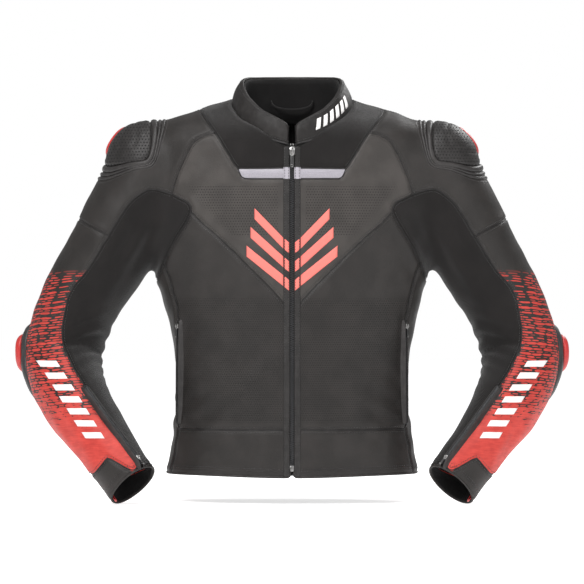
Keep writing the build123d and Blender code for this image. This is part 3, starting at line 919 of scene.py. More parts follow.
# ------------------------------------------------------------------ shader helpers
class Signal:
    """A shader value. Arithmetic on it adds Math nodes."""

    def __init__(self, mat, socket):
        self.mat = mat
        self.socket = socket

    def __add__(self, other):
        return self.mat.math("ADD", self, other)

    def __sub__(self, other):
        return self.mat.math("SUBTRACT", self, other)

    def __rsub__(self, other):
        return self.mat.math("SUBTRACT", other, self)

    def __mul__(self, other):
        return self.mat.math("MULTIPLY", self, other)

    def __truediv__(self, other):
        return self.mat.math("DIVIDE", self, other)

    def __abs__(self):
        return self.mat.math("ABSOLUTE", self)


class Mat:
    """A procedural material. Patterns read the garment's own rest coordinates, in metres,
    so they stay on it in every pose, and texture scales are counts per metre."""

    def __init__(self, name, color, rough=0.5, spec=0.4, metal=0.0, sheen=0.0):
        self.material = bpy.data.materials.new(name)
        self.material.use_nodes = True
        self.tree = self.material.node_tree
        self.bsdf = self.tree.nodes["Principled BSDF"]
        self.bump_normal = None
        self.material.diffuse_color = (*color, 1)
        for key, value in (
            ("Base Color", (*color, 1)),
            ("Roughness", rough),
            ("Specular IOR Level", spec),
            ("Metallic", metal),
            ("Sheen Weight", sheen),
            ("Sheen Roughness", 0.45),
        ):
            self.put(self.bsdf, key, value)

    @cached_property
    def rest(self):
        return self.attribute("rest")

    def put(self, node, key, value):
        if isinstance(value, Signal):
            self.tree.links.new(value.socket, node.inputs[key])
        else:
            node.inputs[key].default_value = value

    def add(self, kind, inputs, out=0, **settings):
        node = self.tree.nodes.new("ShaderNode" + kind)
        for name, value in settings.items():
            setattr(node, name, value)
        for key, value in inputs.items():
            self.put(node, key, value)
        return Signal(self, node.outputs[out])

    def attribute(self, name, out="Vector"):
        return self.add("Attribute", {}, out, attribute_name=name)

    def math(self, operation, one, two=0.0):
        return self.add("Math", {0: one, 1: two}, operation=operation)

    def xyz(self, vector=None):
        first = self.add("SeparateXYZ", {0: vector or self.rest})
        return [Signal(self, socket) for socket in first.socket.node.outputs]

    def noise(self, scale, detail=3.0, vector=None):
        inputs = {"Vector": vector or self.rest, "Scale": scale, "Detail": detail}
        return self.add("TexNoise", inputs)

    def voronoi(self, scale):
        return self.add("TexVoronoi", {"Vector": self.rest, "Scale": scale}, "Distance")

    def ramp(self, value, start, end, low=0.0, high=1.0):
        """Eases from low to high while value goes from start to end."""
        inputs = {0: value, 1: start, 2: end, 3: low, 4: high}
        return self.add("MapRange", inputs, interpolation_type="SMOOTHSTEP")

    def mix(self, factor, one, two):
        one, two = (c if isinstance(c, Signal) else (*c, 1) for c in (one, two))
        return self.add("Mix", {0: factor, 6: one, 7: two}, 2, data_type="RGBA")

    def paint(self, color, rough):
        self.put(self.bsdf, "Base Color", color)
        self.put(self.bsdf, "Roughness", rough)

    def bump(self, height, distance, strength):
        inputs = {"Strength": strength, "Distance": distance, "Height": height}
        if self.bump_normal:
            inputs["Normal"] = self.bump_normal
        self.bump_normal = self.add("Bump", inputs)
        self.put(self.bsdf, "Normal", self.bump_normal)


def shade(color, factor, lift=0.0):
    return tuple(min(c * factor + lift, 1) for c in color)


# ------------------------------------------------------------------ materials
BLACK_DYE = (0.0171, 0.0149, 0.0138)


def dash_rows(mat, place_at, pitch, length, shift, height, share):
    """Rows of dashes. height and share (of the length) run from the first value at the top of
    the print to the second at its foot."""
    across, rise, growth = place_at
    row = rise / pitch + shift
    row_id = mat.math("FLOOR", row)
    from_middle = abs((row - row_id) - 0.5)
    dash = across / length + mat.math("FRACT", row_id * 0.6180) * 2.7
    dash_id = mat.math("FLOOR", dash)
    along = dash - dash_id
    cell = mat.add("CombineXYZ", {0: row_id, 1: dash_id + shift * 17.0})
    chance = mat.add("TexWhiteNoise", {"Vector": cell}, noise_dimensions="2D")
    high = growth * (height[1] - height[0]) + height[0]
    high = high + (chance - 0.5) * 0.16
    # the ends taper
    high = high - mat.ramp(abs(along - 0.5), 0.25, 0.5) * 0.12
    long = growth * (share[1] - share[0]) + share[0]
    long = long + (chance - 0.5) * 0.5
    return mat.ramp(high - from_middle, -0.03, 0.03) * mat.ramp(long - along, -0.02, 0.02)


def red_dashes(mat, color):
    """Rows of dashes that widen towards the cuff until the leather is solid red."""
    top, foot = 0.372, 0.125  # heights where the dashes start to grow and are full
    red = (0.42, 0.034, 0.026)
    z = mat.xyz()[2]
    across = mat.xyz(mat.attribute("par"))[0]
    wobble = (mat.noise(30, 2) - 0.5) * 0.0050
    rise = (z + wobble) + across * 0.10
    place_at = (across, rise, mat.ramp(z, top, foot))
    large = dash_rows(
        mat, place_at, pitch=0.0084, length=0.0185, shift=0.0,
        height=(0.150, 0.270), share=(0.86, 1.04),
    )
    small = dash_rows(
        mat, place_at, pitch=0.0084, length=0.0130, shift=0.5,
        height=(0.045, 0.150), share=(0.74, 0.94),
    )
    mask = mat.math("MAXIMUM", large, small)
    # lower down only thin dark streaks are left between the rows, and then none
    stretched = mat.add("CombineXYZ", {0: across * 55.0, 1: rise * 420.0})
    streak = mat.noise(1.0, 2, stretched)
    limit = 0.80 - mat.ramp(z, 0.195, 0.095) * 0.62
    mask = mat.math("MAXIMUM", mask, mat.ramp(streak - limit, -0.03, 0.03))
    mask = mask * mat.ramp(z, 0.377, 0.362)
    wear = (mat.noise(70, 3) + streak) * 0.5
    worn_red = mat.mix(mat.ramp(wear, 0.25, 0.75), shade(red, 0.78), (0.50, 0.050, 0.038))
    return mat.mix(mask, color, worn_red)


def light_band(mat, color):
    """A light band across the front edges, level with the stripe, and darker leather above."""
    low, high = 0.5185, 0.5365
    z = mat.xyz()[2]
    mask = mat.ramp(z, low - 0.0004, low) * mat.ramp(z, high, high + 0.0004, 1.0, 0.0)
    color = mat.mix(mat.ramp(z, high, high + 0.002), color, (0.0095, 0.0086, 0.0084))
    return mat.mix(mask, color, (0.29, 0.275, 0.305))


def hole_mask(mat, pitch, low=None, high=None, chest=False):
    """Staggered round holes, seen from the front, between two heights."""
    x, _, z = mat.xyz()
    if chest:
        x = abs(x)
    column, row = x / pitch, z / pitch
    stagger = mat.math("FLOORED_MODULO", mat.math("FLOOR", row), 2.0) * 0.5
    off_x = mat.math("FRACT", column + stagger) - 0.5
    off_z = mat.math("FRACT", row) - 0.5
    dist = mat.math("SQRT", off_x * off_x + off_z * off_z)
    holes = mat.ramp(dist, 0.25, 0.17)
    if low is not None:
        fade = 0.004
        area = mat.ramp(z, low - fade, low + fade)
        area = area * mat.ramp(z, high - fade, high + fade, 1.0, 0.0)
        if chest:
            # clear of the zip, and within a slanted outer limit
            area = area * mat.ramp(x, 0.020, 0.024)
            area = area * mat.ramp((x + z * -0.9) - -0.30, 0.02, 0.0)
        holes = holes * area
    return holes


def leather(name, color=BLACK_DYE, rough=0.52, spec=0.26, holes=None, overlay=None):
    """Grained leather, worn lighter near seams, with an optional print and perforation."""
    mat = Mat(name, color, rough, spec=spec)
    cells = mat.voronoi(820)
    fine = mat.noise(1900, 2)
    tone = mat.noise(26, 4)
    worn = mat.ramp(mat.attribute("edge", "Fac"), 0.0, 6.0, 1.0, 0.0)
    worn = worn * mat.ramp(mat.noise(120, 3), 0.42, 0.7)
    light = shade(color, 1.5, 0.009)
    tint = mat.mix(mat.ramp(tone, 0.35, 0.7), shade(color, 0.78), shade(color, 1.12))
    tint = mat.mix(worn * 0.45, tint, light)
    tint = mat.mix(mat.ramp(cells, 0.55, 0.05, 0.0, 0.22), tint, light)
    if overlay:
        tint = overlay(mat, tint)
    height = (1.0 - cells) * 0.8 + fine * 0.35
    roughness = mat.noise(300, 2) * 0.16 + (rough - 0.08)
    if holes:
        mask = hole_mask(mat, **holes)
        tint = mat.mix(mask, tint, shade(color, 0.22))
        height = height - mask * 2.4
        roughness = roughness + mask * 0.3
    mat.paint(tint, roughness)
    mat.bump(mat.noise(90, 3), distance=0.0011, strength=0.35)
    mat.bump(height, distance=0.00022, strength=0.75)
    return mat.material


def textile(name, color, pitch, rough=0.85, sheen=0.2):
    """Woven or knitted cloth. pitch is its thread spacing."""
    mat = Mat(name, color, rough, spec=0.15, sheen=sheen)
    x, y, z = mat.xyz()
    rate = 2 * math.pi / pitch
    across = x + y * 0.7
    weave = mat.math("SINE", across * rate) * mat.math("SINE", z * rate)
    tone = mat.noise(22, 4)
    tint = mat.mix(mat.ramp(tone, 0.3, 0.75), shade(color, 0.8), shade(color, 1.25))
    tint = mat.mix(mat.ramp(weave, 0.2, 1.0, 0.0, 0.35), tint, shade(color, 1.7, 0.004))
    mat.paint(tint, mat.noise(400, 2) * 0.12 + (rough - 0.06))
    mat.bump(mat.noise(60, 3), distance=0.001, strength=0.25)
    mat.bump(weave, distance=0.0003, strength=0.7)
    return mat.material


def metal(name, color, rough):
    mat = Mat(name, color, rough, metal=1.0)
    tint = mat.mix(mat.ramp(mat.noise(160, 3), 0.3, 0.75), shade(color, 0.75), color)
    mat.paint(tint, mat.noise(700, 3) * 0.25 + (rough - 0.08))
    mat.bump(mat.noise(1400, 2), distance=0.0001, strength=0.4)
    return mat.material


def plastic(name, color, rough, grain=1.0, spec=0.5, own_coords=False):
    """Moulded plastic with faint scratches. own_coords is for parts without rest coordinates."""
    mat = Mat(name, color, rough, spec=spec)
    if own_coords:
        mat.rest = mat.add("TexCoord", {}, "Object")
    squeezed = mat.add("VectorMath", {0: mat.rest, 1: (1.0, 1.0, 6.0)}, operation="MULTIPLY")
    scratch = mat.noise(420, 4, squeezed)
    tint = mat.mix(mat.ramp(scratch, 0.55, 0.8, 0.0, 0.4), color, shade(color, 1.3, 0.02))
    mat.paint(tint, mat.noise(260, 3) * 0.2 + (rough - 0.08))
    mat.bump(mat.noise(1100, 2), distance=0.00015, strength=0.5 * grain)
    mat.bump(mat.noise(60, 2), distance=0.0005, strength=0.2 * grain)
    return mat.material


def reflective_film():
    mat = Mat("reflective_film", (0.42, 0.40, 0.455), 0.38, spec=0.5)
    cells = mat.voronoi(900)
    tint = mat.mix(mat.ramp(cells, 0.1, 0.6), (0.308, 0.292, 0.325), (0.235, 0.222, 0.248))
    mat.paint(tint, mat.ramp(mat.noise(200, 2), 0.3, 0.7, 0.3, 0.5))
    mat.bump(cells, distance=0.0001, strength=0.6)
    return mat.material


LEATHER = leather("leather_black")
# The chest leather's colour is about twice as light as the other black leather: painted light that
# stands for the light falling on the chest from the front and above.
LIT_CHEST_LEATHER = leather(
    "leather_chest_painted_light", color=(0.0362, 0.0320, 0.0294),
    holes=dict(pitch=0.0042, low=0.428, high=0.508, chest=True),
)
LOWER_LEATHER = leather("leather_lower", holes=dict(pitch=0.0036, low=0.135, high=0.330))
PERFORATED = leather("leather_perforated", holes=dict(pitch=0.0048))
SLEEVE_LEATHER = leather("leather_sleeve_print", overlay=red_dashes)
PLACKET = leather("leather_placket", color=(0.0165, 0.0150, 0.0145), overlay=light_band)
COLLAR = leather("leather_collar", color=(0.0115, 0.0102, 0.0098), rough=0.5, spec=0.2)
CUP_LEATHER = leather(
    "cup_leather", color=(0.0155, 0.0140, 0.0136), rough=0.48, holes=dict(pitch=0.0050)
)
RIB = leather("rib_leather", color=(0.020, 0.018, 0.0175), rough=0.45, spec=0.3)
STRETCH_CLOTH = textile("stretch_black", color=(0.0083, 0.0071, 0.0068), pitch=0.0013)
LINING = textile("lining_black", color=(0.0065, 0.0060, 0.0060), pitch=0.0022, sheen=0.1)
TAPE = textile("zip_tape", color=(0.012, 0.012, 0.012), pitch=0.0012, sheen=0.1)
REFLECT = reflective_film()
THREAD = textile("thread_black", color=(0.020, 0.019, 0.019), pitch=0.0006, rough=0.6)
PIPING = leather("piping_black", color=(0.012, 0.011, 0.011), rough=0.45)
METAL = metal("zip_metal", color=(0.30, 0.295, 0.29), rough=0.28)
TEETH = metal("zip_teeth", color=(0.085, 0.085, 0.088), rough=0.36)
RED = plastic("slider_red", color=(0.40, 0.022, 0.020), rough=0.33)
CUP_PLASTIC = plastic("cup_black", color=(0.017, 0.0165, 0.017), rough=0.45)
PULL = plastic("pull_black", color=(0.015, 0.015, 0.015), rough=0.5)
SALMON = plastic("print_salmon", color=(0.70, 0.150, 0.125), rough=0.55, grain=0.6, spec=0.3)
WHITE = plastic("print_white", color=(0.72, 0.70, 0.69), rough=0.5, grain=0.6, spec=0.3)
FOAM = plastic(
    "protector_foam", color=(0.03, 0.03, 0.032), rough=0.8, grain=2.0, own_coords=True
)


# ------------------------------------------------------------------ objects
def bends():
    """Bodies on either side of each shoulder and elbow, and two points across the join."""
    found = {}
    normal = NORMAL[slice_at(ELBOW_AT)]
    for side, flip in SIDES:
        arm = "upper_arm_" + side
        inner, outer = (to_metres(np.array([-x, 0, 500]) * flip) for x in (219.0, 290.0))
        found["shoulder_" + side] = ("torso", arm, inner, outer)
        above, below = (to_metres((ELBOW + normal * reach) * flip) for reach in (-58, 44))
        found["elbow_" + side] = (arm, "forearm_" + side, above, below)
    return found


BENDS = bends()


def add_mesh(name, mesh, mats, attributes=None, smooth=True):
    pts, faces = mesh
    data = bpy.data.meshes.new(name)
    data.from_pydata(to_metres(pts).tolist(), [], [list(map(int, face)) for face in faces])
    data.validate(clean_customdata=False)
    data.update()
    for key, values in {"rest": pts / 1000.0, **(attributes or {})}.items():
        vector = values.ndim == 2
        layer = data.attributes.new(key, "FLOAT_VECTOR" if vector else "FLOAT", "POINT")
        layer.data.foreach_set(
            "vector" if vector else "value", values.astype(np.float32).ravel()
        )
    for mat in mats:
        data.materials.append(mat)
    if smooth:
        data.polygons.foreach_set("use_smooth", np.ones(len(data.polygons), bool))
    ob = bpy.data.objects.new(name, data)
    bpy.context.scene.collection.objects.link(ob)
    return ob


def thicken(ob, thickness, inner_material=0):
    solid = ob.modifiers.new("thick", "SOLIDIFY")
    solid.thickness = thickness / 1000
    solid.offset = -1
    solid.material_offset = inner_material


def attach(ob, body_name, *nodes):
    """Puts a piece on a body, or for a bend only bakes its transform, and hides the frame's nodes
    it replaces.
    """
    if body_name in BENDS:
        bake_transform(ob)
    else:
        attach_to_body(ob, body_name)
    if nodes:
        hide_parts(*nodes)


def piece(name, mesh, mat, body_name, *nodes, smooth=True, subdivide=None, thickness=None):
    """One finished object. subdivide is the name of its subdivision modifier."""
    ob = add_mesh(name, mesh, [mat], smooth=smooth)
    if subdivide:
        modifier = ob.modifiers.new(subdivide, "SUBSURF")
        modifier.levels = modifier.render_levels = 1
    if thickness:
        thicken(ob, thickness)
    attach(ob, body_name, *nodes)


# ------------------------------------------------------------------ seam lines
def seam_lines():
    """Edges between each pair of panels, and open edges by panel."""
    edges = np.concatenate([tris[:, [0, 1]], tris[:, [1, 2]], tris[:, [2, 0]]])
    owner = np.tile(np.arange(len(tris)), 3)
    edges = np.sort(edges, 1)
    order = np.lexsort((edges[:, 1], edges[:, 0]))
    edges, owner = edges[order], owner[order]
    shared = np.where((edges[1:] == edges[:-1]).all(1))[0]
    single = np.ones(len(edges), bool)
    single[shared] = False
    single[shared + 1] = False
    pairs, rims = {}, {}
    for i in shared:
        one, two = panel_of[owner[i]], panel_of[owner[i + 1]]
        if one != two:
            pairs.setdefault(tuple(sorted((one, two))), []).append(tuple(map(int, edges[i])))
    for i in np.where(single)[0]:
        if not (np.abs(points[edges[i], 0]) < 1e-3).all():
            rims.setdefault(panel_of[owner[i]], []).append(tuple(map(int, edges[i])))
    return pairs, rims


def chains(edges):
    """Edges joined into lines of points."""
    near = {}
    for one, two in edges:
        near.setdefault(one, []).append(two)
        near.setdefault(two, []).append(one)
    left = {tuple(sorted(edge)) for edge in edges}

    def unused(spot):
        return [k for k in near[spot] if tuple(sorted((spot, k))) in left]

    lines = []
    for start in [v for v in near if len(near[v]) != 2] + list(near):
        while unused(start):
            line, here = [start], start
            ahead = unused(start)[0]
            while True:
                left.discard(tuple(sorted((here, ahead))))
                line.append(ahead)
                here = ahead
                onward = unused(here)
                if not onward or len(near[here]) != 2:
                    break
                ahead = onward[0]
            lines.append(line)
    return lines


def nearest_distance(pts, targets, cap=14.0):
    """Distance from each point to the nearest target, up to cap."""
    dist = np.full(len(pts), cap)

    def by_cell(spots):
        cells = {}
        for i, cell in enumerate(map(tuple, np.floor(spots / cap).astype(int))):
            cells.setdefault(cell, []).append(i)
        return cells

    target_cells = by_cell(targets)
    for cell, members in by_cell(pts).items():
        close = []
        for step in itertools.product((-1, 0, 1), repeat=3):
            close += target_cells.get(tuple(i + j for i, j in zip(cell, step)), ())
        if close:
            members = np.array(members)
            gaps = pts[members][:, None] - targets[np.array(close)][None]
            dist[members] = np.minimum(dist[members], np.sqrt((gaps**2).sum(-1)).min(1))
    return dist


PAIRS, RIMS = seam_lines()
# The line where the stretch cloth changes bodies is no seam.
UNSEWN = ("stretch_lower", "stretch_upper")
_sewn = [edges for pair, edges in PAIRS.items() if pair != UNSEWN] + list(RIMS.values())
EDGE = nearest_distance(points, points[np.unique(np.concatenate(_sewn))])

# ------------------------------------------------------------------ panels
_, _along, _angle, _ = sleeve(points)
# Sleeve coordinates of each point in metres: round the arm, along it
PAR = np.column_stack([_angle * 58, _along, np.zeros(len(points))]) / 1000.0
# The cloth rolls down into a seam and swells a little beside it.
ROLL = -1.7 * bell(EDGE, 0, 3.0) + 0.5 * bell(EDGE, 7, 4.0)
ON_MIDDLE = np.abs(points[:, 0]) < 1e-3


def finished(flip):
    pts = points * flip
    pts = pts + normals * flip * (relief(pts) + ROLL)[:, None]
    pts[ON_MIDDLE, 0] = 0
    return pts


FINISHED = {side: finished(flip) for side, flip in SIDES}


def panel(name, label, mat, body_name, *nodes, side=None):
    """One half of a panel, or both halves when no side is given, as cloth with thickness."""
    used, faces = compact(tris[panel_of == label], len(points))
    pts = FINISHED[side or "right"][used]
    par, edge = PAR[used], EDGE[used]
    if side == "left":
        faces = faces[:, ::-1]
    elif side is None:
        twin = np.arange(len(used)) + len(used)
        on_middle = ON_MIDDLE[used]
        twin[on_middle] = np.arange(len(used))[on_middle]
        pts = np.concatenate([pts, FINISHED["left"][used]])
        faces = np.concatenate([faces, twin[faces][:, ::-1]])
        keep, faces = compact(faces, len(pts))
        pts = pts[keep]
        par, edge = np.concatenate([par, par])[keep], np.concatenate([edge, edge])[keep]
    whole = (faces != np.roll(faces, -1, axis=1)).all(1)
    mesh = (pts, faces[whole].tolist())
    ob = add_mesh(name, mesh, [mat, LINING], {"par": par, "edge": edge})
    data = ob.data
    loop_edges = np.empty(len(data.loops), int)
    data.loops.foreach_get("edge_index", loop_edges)
    rim = np.bincount(loop_edges, minlength=len(data.edges)) == 1
    data.edges.foreach_set("use_edge_sharp", rim)
    thicken(ob, 2.2, inner_material=1)
    attach(ob, body_name, *nodes)


# object, panel, material, the frame nodes it replaces
for name, label, mat, *nodes in (
    ("yoke_cloth", "yoke", STRETCH_CLOTH, "yoke_stretch_panels"),
    ("chest_leather", "chest", LIT_CHEST_LEATHER, "front_chest_panels"),
    ("stripe_film", "stripe", REFLECT, "reflective_stripes"),
    ("lower_front_leather", "lower_front", LOWER_LEATHER, "front_lower_panels"),
    ("waist_front_leather", "waist_front", LEATHER, "front_waist_panels"),
    ("side_leather", "side", LEATHER, "side_panels"),
    ("back_upper_leather", "back_upper", PERFORATED, "back_upper_panel"),
    ("back_stretch_band", "back_bellows", RIB),
    ("back_lower_leather", "back_lower", LEATHER, "back_lower_panel"),
    ("back_waist_leather", "waist_back", LEATHER, "back_waist_panel"),
):
    panel(name, label, mat, "torso", *nodes)

# object, panel, material, body or bend, the frame nodes it replaces
SIDE_PANELS = (
    ("shoulder_leather_", "shoulder", LEATHER, "shoulder_", "shoulder_panel_"),
    ("upper_stretch_", "stretch_upper", STRETCH_CLOTH, "shoulder_", "upper_sleeve_stretch_"),
    ("lower_stretch_", "stretch_lower", STRETCH_CLOTH, "elbow_", "forearm_stretch_"),
    ("sleeve_leather_", "sleeve_leather", SLEEVE_LEATHER, "elbow_",
     "upper_sleeve_leather_", "elbow_panel_", "forearm_leather_"),
    ("cuff_leather_", "cuff_band", LEATHER, "forearm_", "cuff_band_"),
)
for side, _ in SIDES:
    for name, label, mat, body_name, *nodes in SIDE_PANELS:
        nodes = [node + side for node in nodes]
        panel(name + side, label, mat, body_name + side, *nodes, side=side)


def torso_lining():
    """Cloth inside the torso, clear of the hem, the zip and the sleeve openings."""
    x, y, z = centres.T
    inside = ~arm_tris & (z > 62) & ((x < -18) | (y > 10)) & (x > -204)
    used, faces = compact(tris[inside], len(points))
    halves = [FINISHED[side][used] - normals[used] * flip * 5.0 for side, flip in SIDES]
    every = np.concatenate([faces, faces[:, ::-1] + len(used)])
    return np.concatenate(halves), every.tolist()


piece("torso_lining_cloth", torso_lining(), LINING, "torso", "torso_lining", thickness=1.2)


# ------------------------------------------------------------------ seams and stitching
def stitch_template(length=2.9, width=0.42, height=0.36):
    pts, faces = [], []
    for x in (-length * 0.32, length * 0.32):
        for k in range(6):
            angle = k * math.pi / 3
            pts.append((x, width * math.cos(angle), height * math.sin(angle)))
    pts += [(-length / 2, 0, -height * 0.6), (length / 2, 0, -height * 0.6)]
    for k in range(6):
        j = (k + 1) % 6
        faces += [[k, 6 + k, 6 + j, j], [12, k, j], [13, 6 + j, 6 + k]]
    return np.array(pts), faces


STITCH = stitch_template()


def stitches(spots, along, out):
    return scatter(STITCH, spots, (along, np.cross(out, along), out))


def stitch_row(line, offset, lift=0.25, step=SEAM_STITCH_STEP):
    """A row of stitches on the cloth, beside a line by offset."""
    line = resample(line, step)
    if len(line) < 4:
        return np.zeros((0, 3)), []
    _, out = settle(line, 1)
    beside = line + unit(np.cross(out, unit(np.gradient(line, axis=0)))) * offset
    spots, out = settle(beside, 2)
    spots = spots + out * (relief(spots) + lift)[:, None]
    stride = np.gradient(spots, axis=0)
    along = unit(stride)
    out = unit(out - along * (out * along).sum(1, keepdims=True))
    # no stitches where the row bunches up or breaks, nor at its ends
    stride = norm(stride, axis=1)
    keep = (stride > step * 0.45) & (stride < step * 1.8)
    keep[[0, -1]] = False
    return stitches(spots[keep], along[keep], out[keep])


def sewn_groups():
    """Seam cord lines with normals, and lines to stitch beside, by where they bend."""
    groups = {"torso": ([], []), "shoulder": ([], []), "elbow": ([], [])}
    for pair, edges in PAIRS.items():
        if pair == UNSEWN:
            continue
        if {"shoulder", "stretch_upper"} & set(pair):
            cords, sewn = groups["shoulder"]
        elif {"sleeve_leather", "stretch_lower", "cuff_band"} & set(pair):
            cords, sewn = groups["elbow"]
        else:
            cords, sewn = groups["torso"]
        for chain in chains(edges):
            line = points[chain]
            if norm(np.diff(line, axis=0), axis=1).sum() < 12:
                continue
            line = fair(line)
            cords.append(settle(resample(line, 4.0), 2))
            if "stripe" not in pair:
                sewn.append(line)
    return groups


for group, (cords, sewn) in sewn_groups().items():
    for side, flip in SIDES:
        tubes = []
        for line, out in cords:
            line, out = line * flip, out * flip
            sunk = line + out * (relief(line) - 1.35)[:, None]
            tubes.append(tube(sunk, 1.0, 6, up=out, flat=0.9))
        rows = [stitch_row(line * flip, offset) for line in sewn for offset in (-3.9, 3.9)]
        label = group + "_" + side
        body_name = group if group == "torso" else label
        piece("seam_cord_" + label, join(tubes), PIPING, body_name)
        piece("stitching_" + label, join(rows), THREAD, body_name)


# ------------------------------------------------------------------ hems
def hem_lines():
    """Open edges along the hem and round the cuff."""
    lines = {"torso": [], "cuff": []}
    for name, edges in RIMS.items():
        for chain in chains(edges):
            line = points[chain]
            if name != "cuff_band":
                # the longest low run, without the part that climbs beside the zip
                low = np.concatenate([[0], line[:, 2] < 60, [0]]).astype(int)
                runs = np.flatnonzero(np.diff(low)).reshape(-1, 2)
                if not len(runs):
                    continue
                start, end = runs[np.argmax(runs[:, 1] - runs[:, 0])]
                line = line[start:end]
            if len(line) < 6:
                continue
            z = line[:, 2]
            if name == "cuff_band":
                if z.mean() < 110:
                    lines["cuff"].append(fair(line, 3))
            elif z.mean() < 75 and z.max() - z.min() < 25:
                lines["torso"].append(fair(line, 3))
    return lines


HEMS = hem_lines()
for side, flip in SIDES:
    for key, lines in HEMS.items():
        if not lines:
            continue
        up = np.array([0, 0, 1.0]) if key == "torso" else -CUFF_NORMAL * flip
        body_name = "torso" if key == "torso" else "forearm_" + side
        rolls, rows = [], []
        for line in lines:
            spots, out = settle(resample(line, 4.0) * flip, 2)
            sunk = spots + out * (relief(spots) - 1.5)[:, None]
            rolls.append(tube(sunk, 1.9, 8, up=out, flat=0.9))
            rows += [stitch_row(line * flip + up * rise, 0.0) for rise in (9.0, 12.5)]
        piece("hem_roll_" + key + "_" + side, join(rolls), LEATHER, body_name)
        piece("hem_stitches_" + key + "_" + side, join(rows), THREAD, body_name)

# ------------------------------------------------------------------ collar
# Heights of the collar's foot and top, at degrees round from the front
COLLAR_FOOT = (
    [0, 17, 31, 49, 68, 90, 120, 150, 180],
    [575, 582, 591, 606, 625, 643, 648, 646, 644],
)
COLLAR_TOP = (
    [0, 4, 8, 17, 38, 57, 75, 90, 105, 120, 150, 180],
    [602, 606, 611, 618, 632, 650, 666, 678, 685, 688, 689.5, 690.5],
)
# Collar sections: share of the way up the wall, distance outwards
SHELL_PROFILE = [
    (0.0, 0.4), (0.08, 0.8), (0.2, 1.2), (0.35, 1.4), (0.5, 1.4), (0.65, 1.4), (0.8, 1.2),
    (0.9, 0.8), (0.96, 0.0), (0.99, -1.4), (0.995, -3.0), (0.97, -4.6), (0.90, -5.6),
    (0.75, -6.4), (0.5, -6.6), (0.25, -6.0), (0.05, -5.0), (-0.02, -3.0), (-0.03, -1.0),
]
LINING_PROFILE = [
    (0.93, -6.1), (0.75, -7.4), (0.5, -7.8), (0.2, -7.4), (-0.2, -7.5), (-0.55, -8.5),
    (-0.56, -9.6), (-0.2, -8.8), (0.2, -8.8), (0.5, -9.2), (0.75, -8.8), (0.93, -7.3),
]
COLLAR_TURN = np.linspace(0.062, 2 * math.pi - 0.062, 150)
COLLAR_WAVE = dict(seed=11, size=46)


def collar_out(turn):
    return unit(np.stack([-np.sin(turn), -np.cos(turn), np.full(turn.shape, 0.30)], -1))


def collar_at(turn, rise, outset):
    """Points on the collar: turn round it from the front, rise up its wall, outset outwards."""
    degrees = np.degrees(np.minimum(turn, 2 * math.pi - turn))
    foot_z = np.interp(degrees, *COLLAR_FOOT) - 3
    top_z = np.interp(degrees, *COLLAR_TOP) - 1.5
    foot = np.stack([-96.5 * np.sin(turn), -9 - 81.0 * np.cos(turn), foot_z], -1)
    top = np.stack([-80.0 * np.sin(turn), -8 - 77.0 * np.cos(turn), top_z], -1)
    bulge = 2.6 * np.sin(np.clip(rise, 0, 1) * math.pi)
    return foot * (1 - rise) + top * rise + collar_out(turn) * (outset + bulge)


def collar_grid(profile):
    return np.stack([collar_at(COLLAR_TURN, rise, outset) for rise, outset in profile], 1)


def collar_shell():
    grid = collar_grid(SHELL_PROFILE)
    wave = 0.5 * waves(grid.reshape(-1, 3), **COLLAR_WAVE).reshape(grid.shape[:2])
    return loft(grid + wave[..., None] * collar_out(COLLAR_TURN)[:, None])


def collar_stitches():
    rows = []
    for rise, outset in ((0.90, 1.1), (0.10, 1.5)):
        line = resample(collar_at(COLLAR_TURN, rise, outset), SEAM_STITCH_STEP)
        along = unit(np.gradient(line, axis=0))
        turn = np.arctan2(-line[:, 0] / 90, -(line[:, 1] + 9) / 80)
        out = collar_out(turn)
        out = unit(out - along * (out * along).sum(1, keepdims=True))
        rows.append(stitches(line + out * 0.15, along, out))
    return join(rows)


def slab(grid, out, height, low=-0.4):
    """A thin raised print from a grid of points with normals."""
    rows, cols = grid.shape[:2]
    pts = np.concatenate([(grid + out * height).reshape(-1, 3), (grid + out * low).reshape(-1, 3)])
    faces = []
    under = rows * cols
    for i in range(rows - 1):
        for j in range(cols - 1):
            here, ahead = i * cols + j, (i + 1) * cols + j
            quad = [here, here + 1, ahead + 1, ahead]
            faces += [quad, [v + under for v in quad][::-1]]
    ring = list(range(cols))
    ring += [i * cols + cols - 1 for i in range(1, rows)]
    ring += [(rows - 1) * cols + j for j in range(cols - 2, -1, -1)]
    ring += [i * cols for i in range(rows - 2, 0, -1)]
    for one, two in zip(ring, ring[1:] + ring[:1]):
        faces.append([one, one + under, two + under, two])
    return facing((pts, faces), out.reshape(-1, 3)[0])


def collar_print():
    """Slanted bars on the wearer's left of the collar."""
    bars = []
    width, slant = math.radians(4.6), math.radians(4.0)
    for i in range(6):
        start = 2 * math.pi - math.radians(25 + i * 8.2)
        grid = np.zeros((5, 7, 3))
        out = np.zeros((5, 7, 3))
        for row, rise in enumerate(np.linspace(0.30, 0.72, 5)):
            turn = start - np.linspace(0, width, 7) - slant * (rise - 0.5) * 2
            spots = collar_at(turn, rise, 1.5)
            out[row] = collar_out(turn)
            grid[row] = spots + 0.5 * waves(spots, **COLLAR_WAVE)[:, None] * out[row]
        bars.append(slab(grid, out, 0.45))
    return join(bars)


piece("collar_leather", collar_shell(), COLLAR, "torso", "collar_shell", subdivide="sub")
piece("collar_lining_cloth", loft(collar_grid(LINING_PROFILE)), LINING, "torso", "collar_lining")
piece("collar_stitches", collar_stitches(), THREAD, "torso")
# cord where the collar meets the body
_cord = tube(collar_at(COLLAR_TURN, 0.0, 0.6), 1.5, 8, up=collar_out(COLLAR_TURN))
piece("collar_seam_cord", _cord, PIPING, "torso")
piece("collar_print", collar_print(), WHITE, "torso")

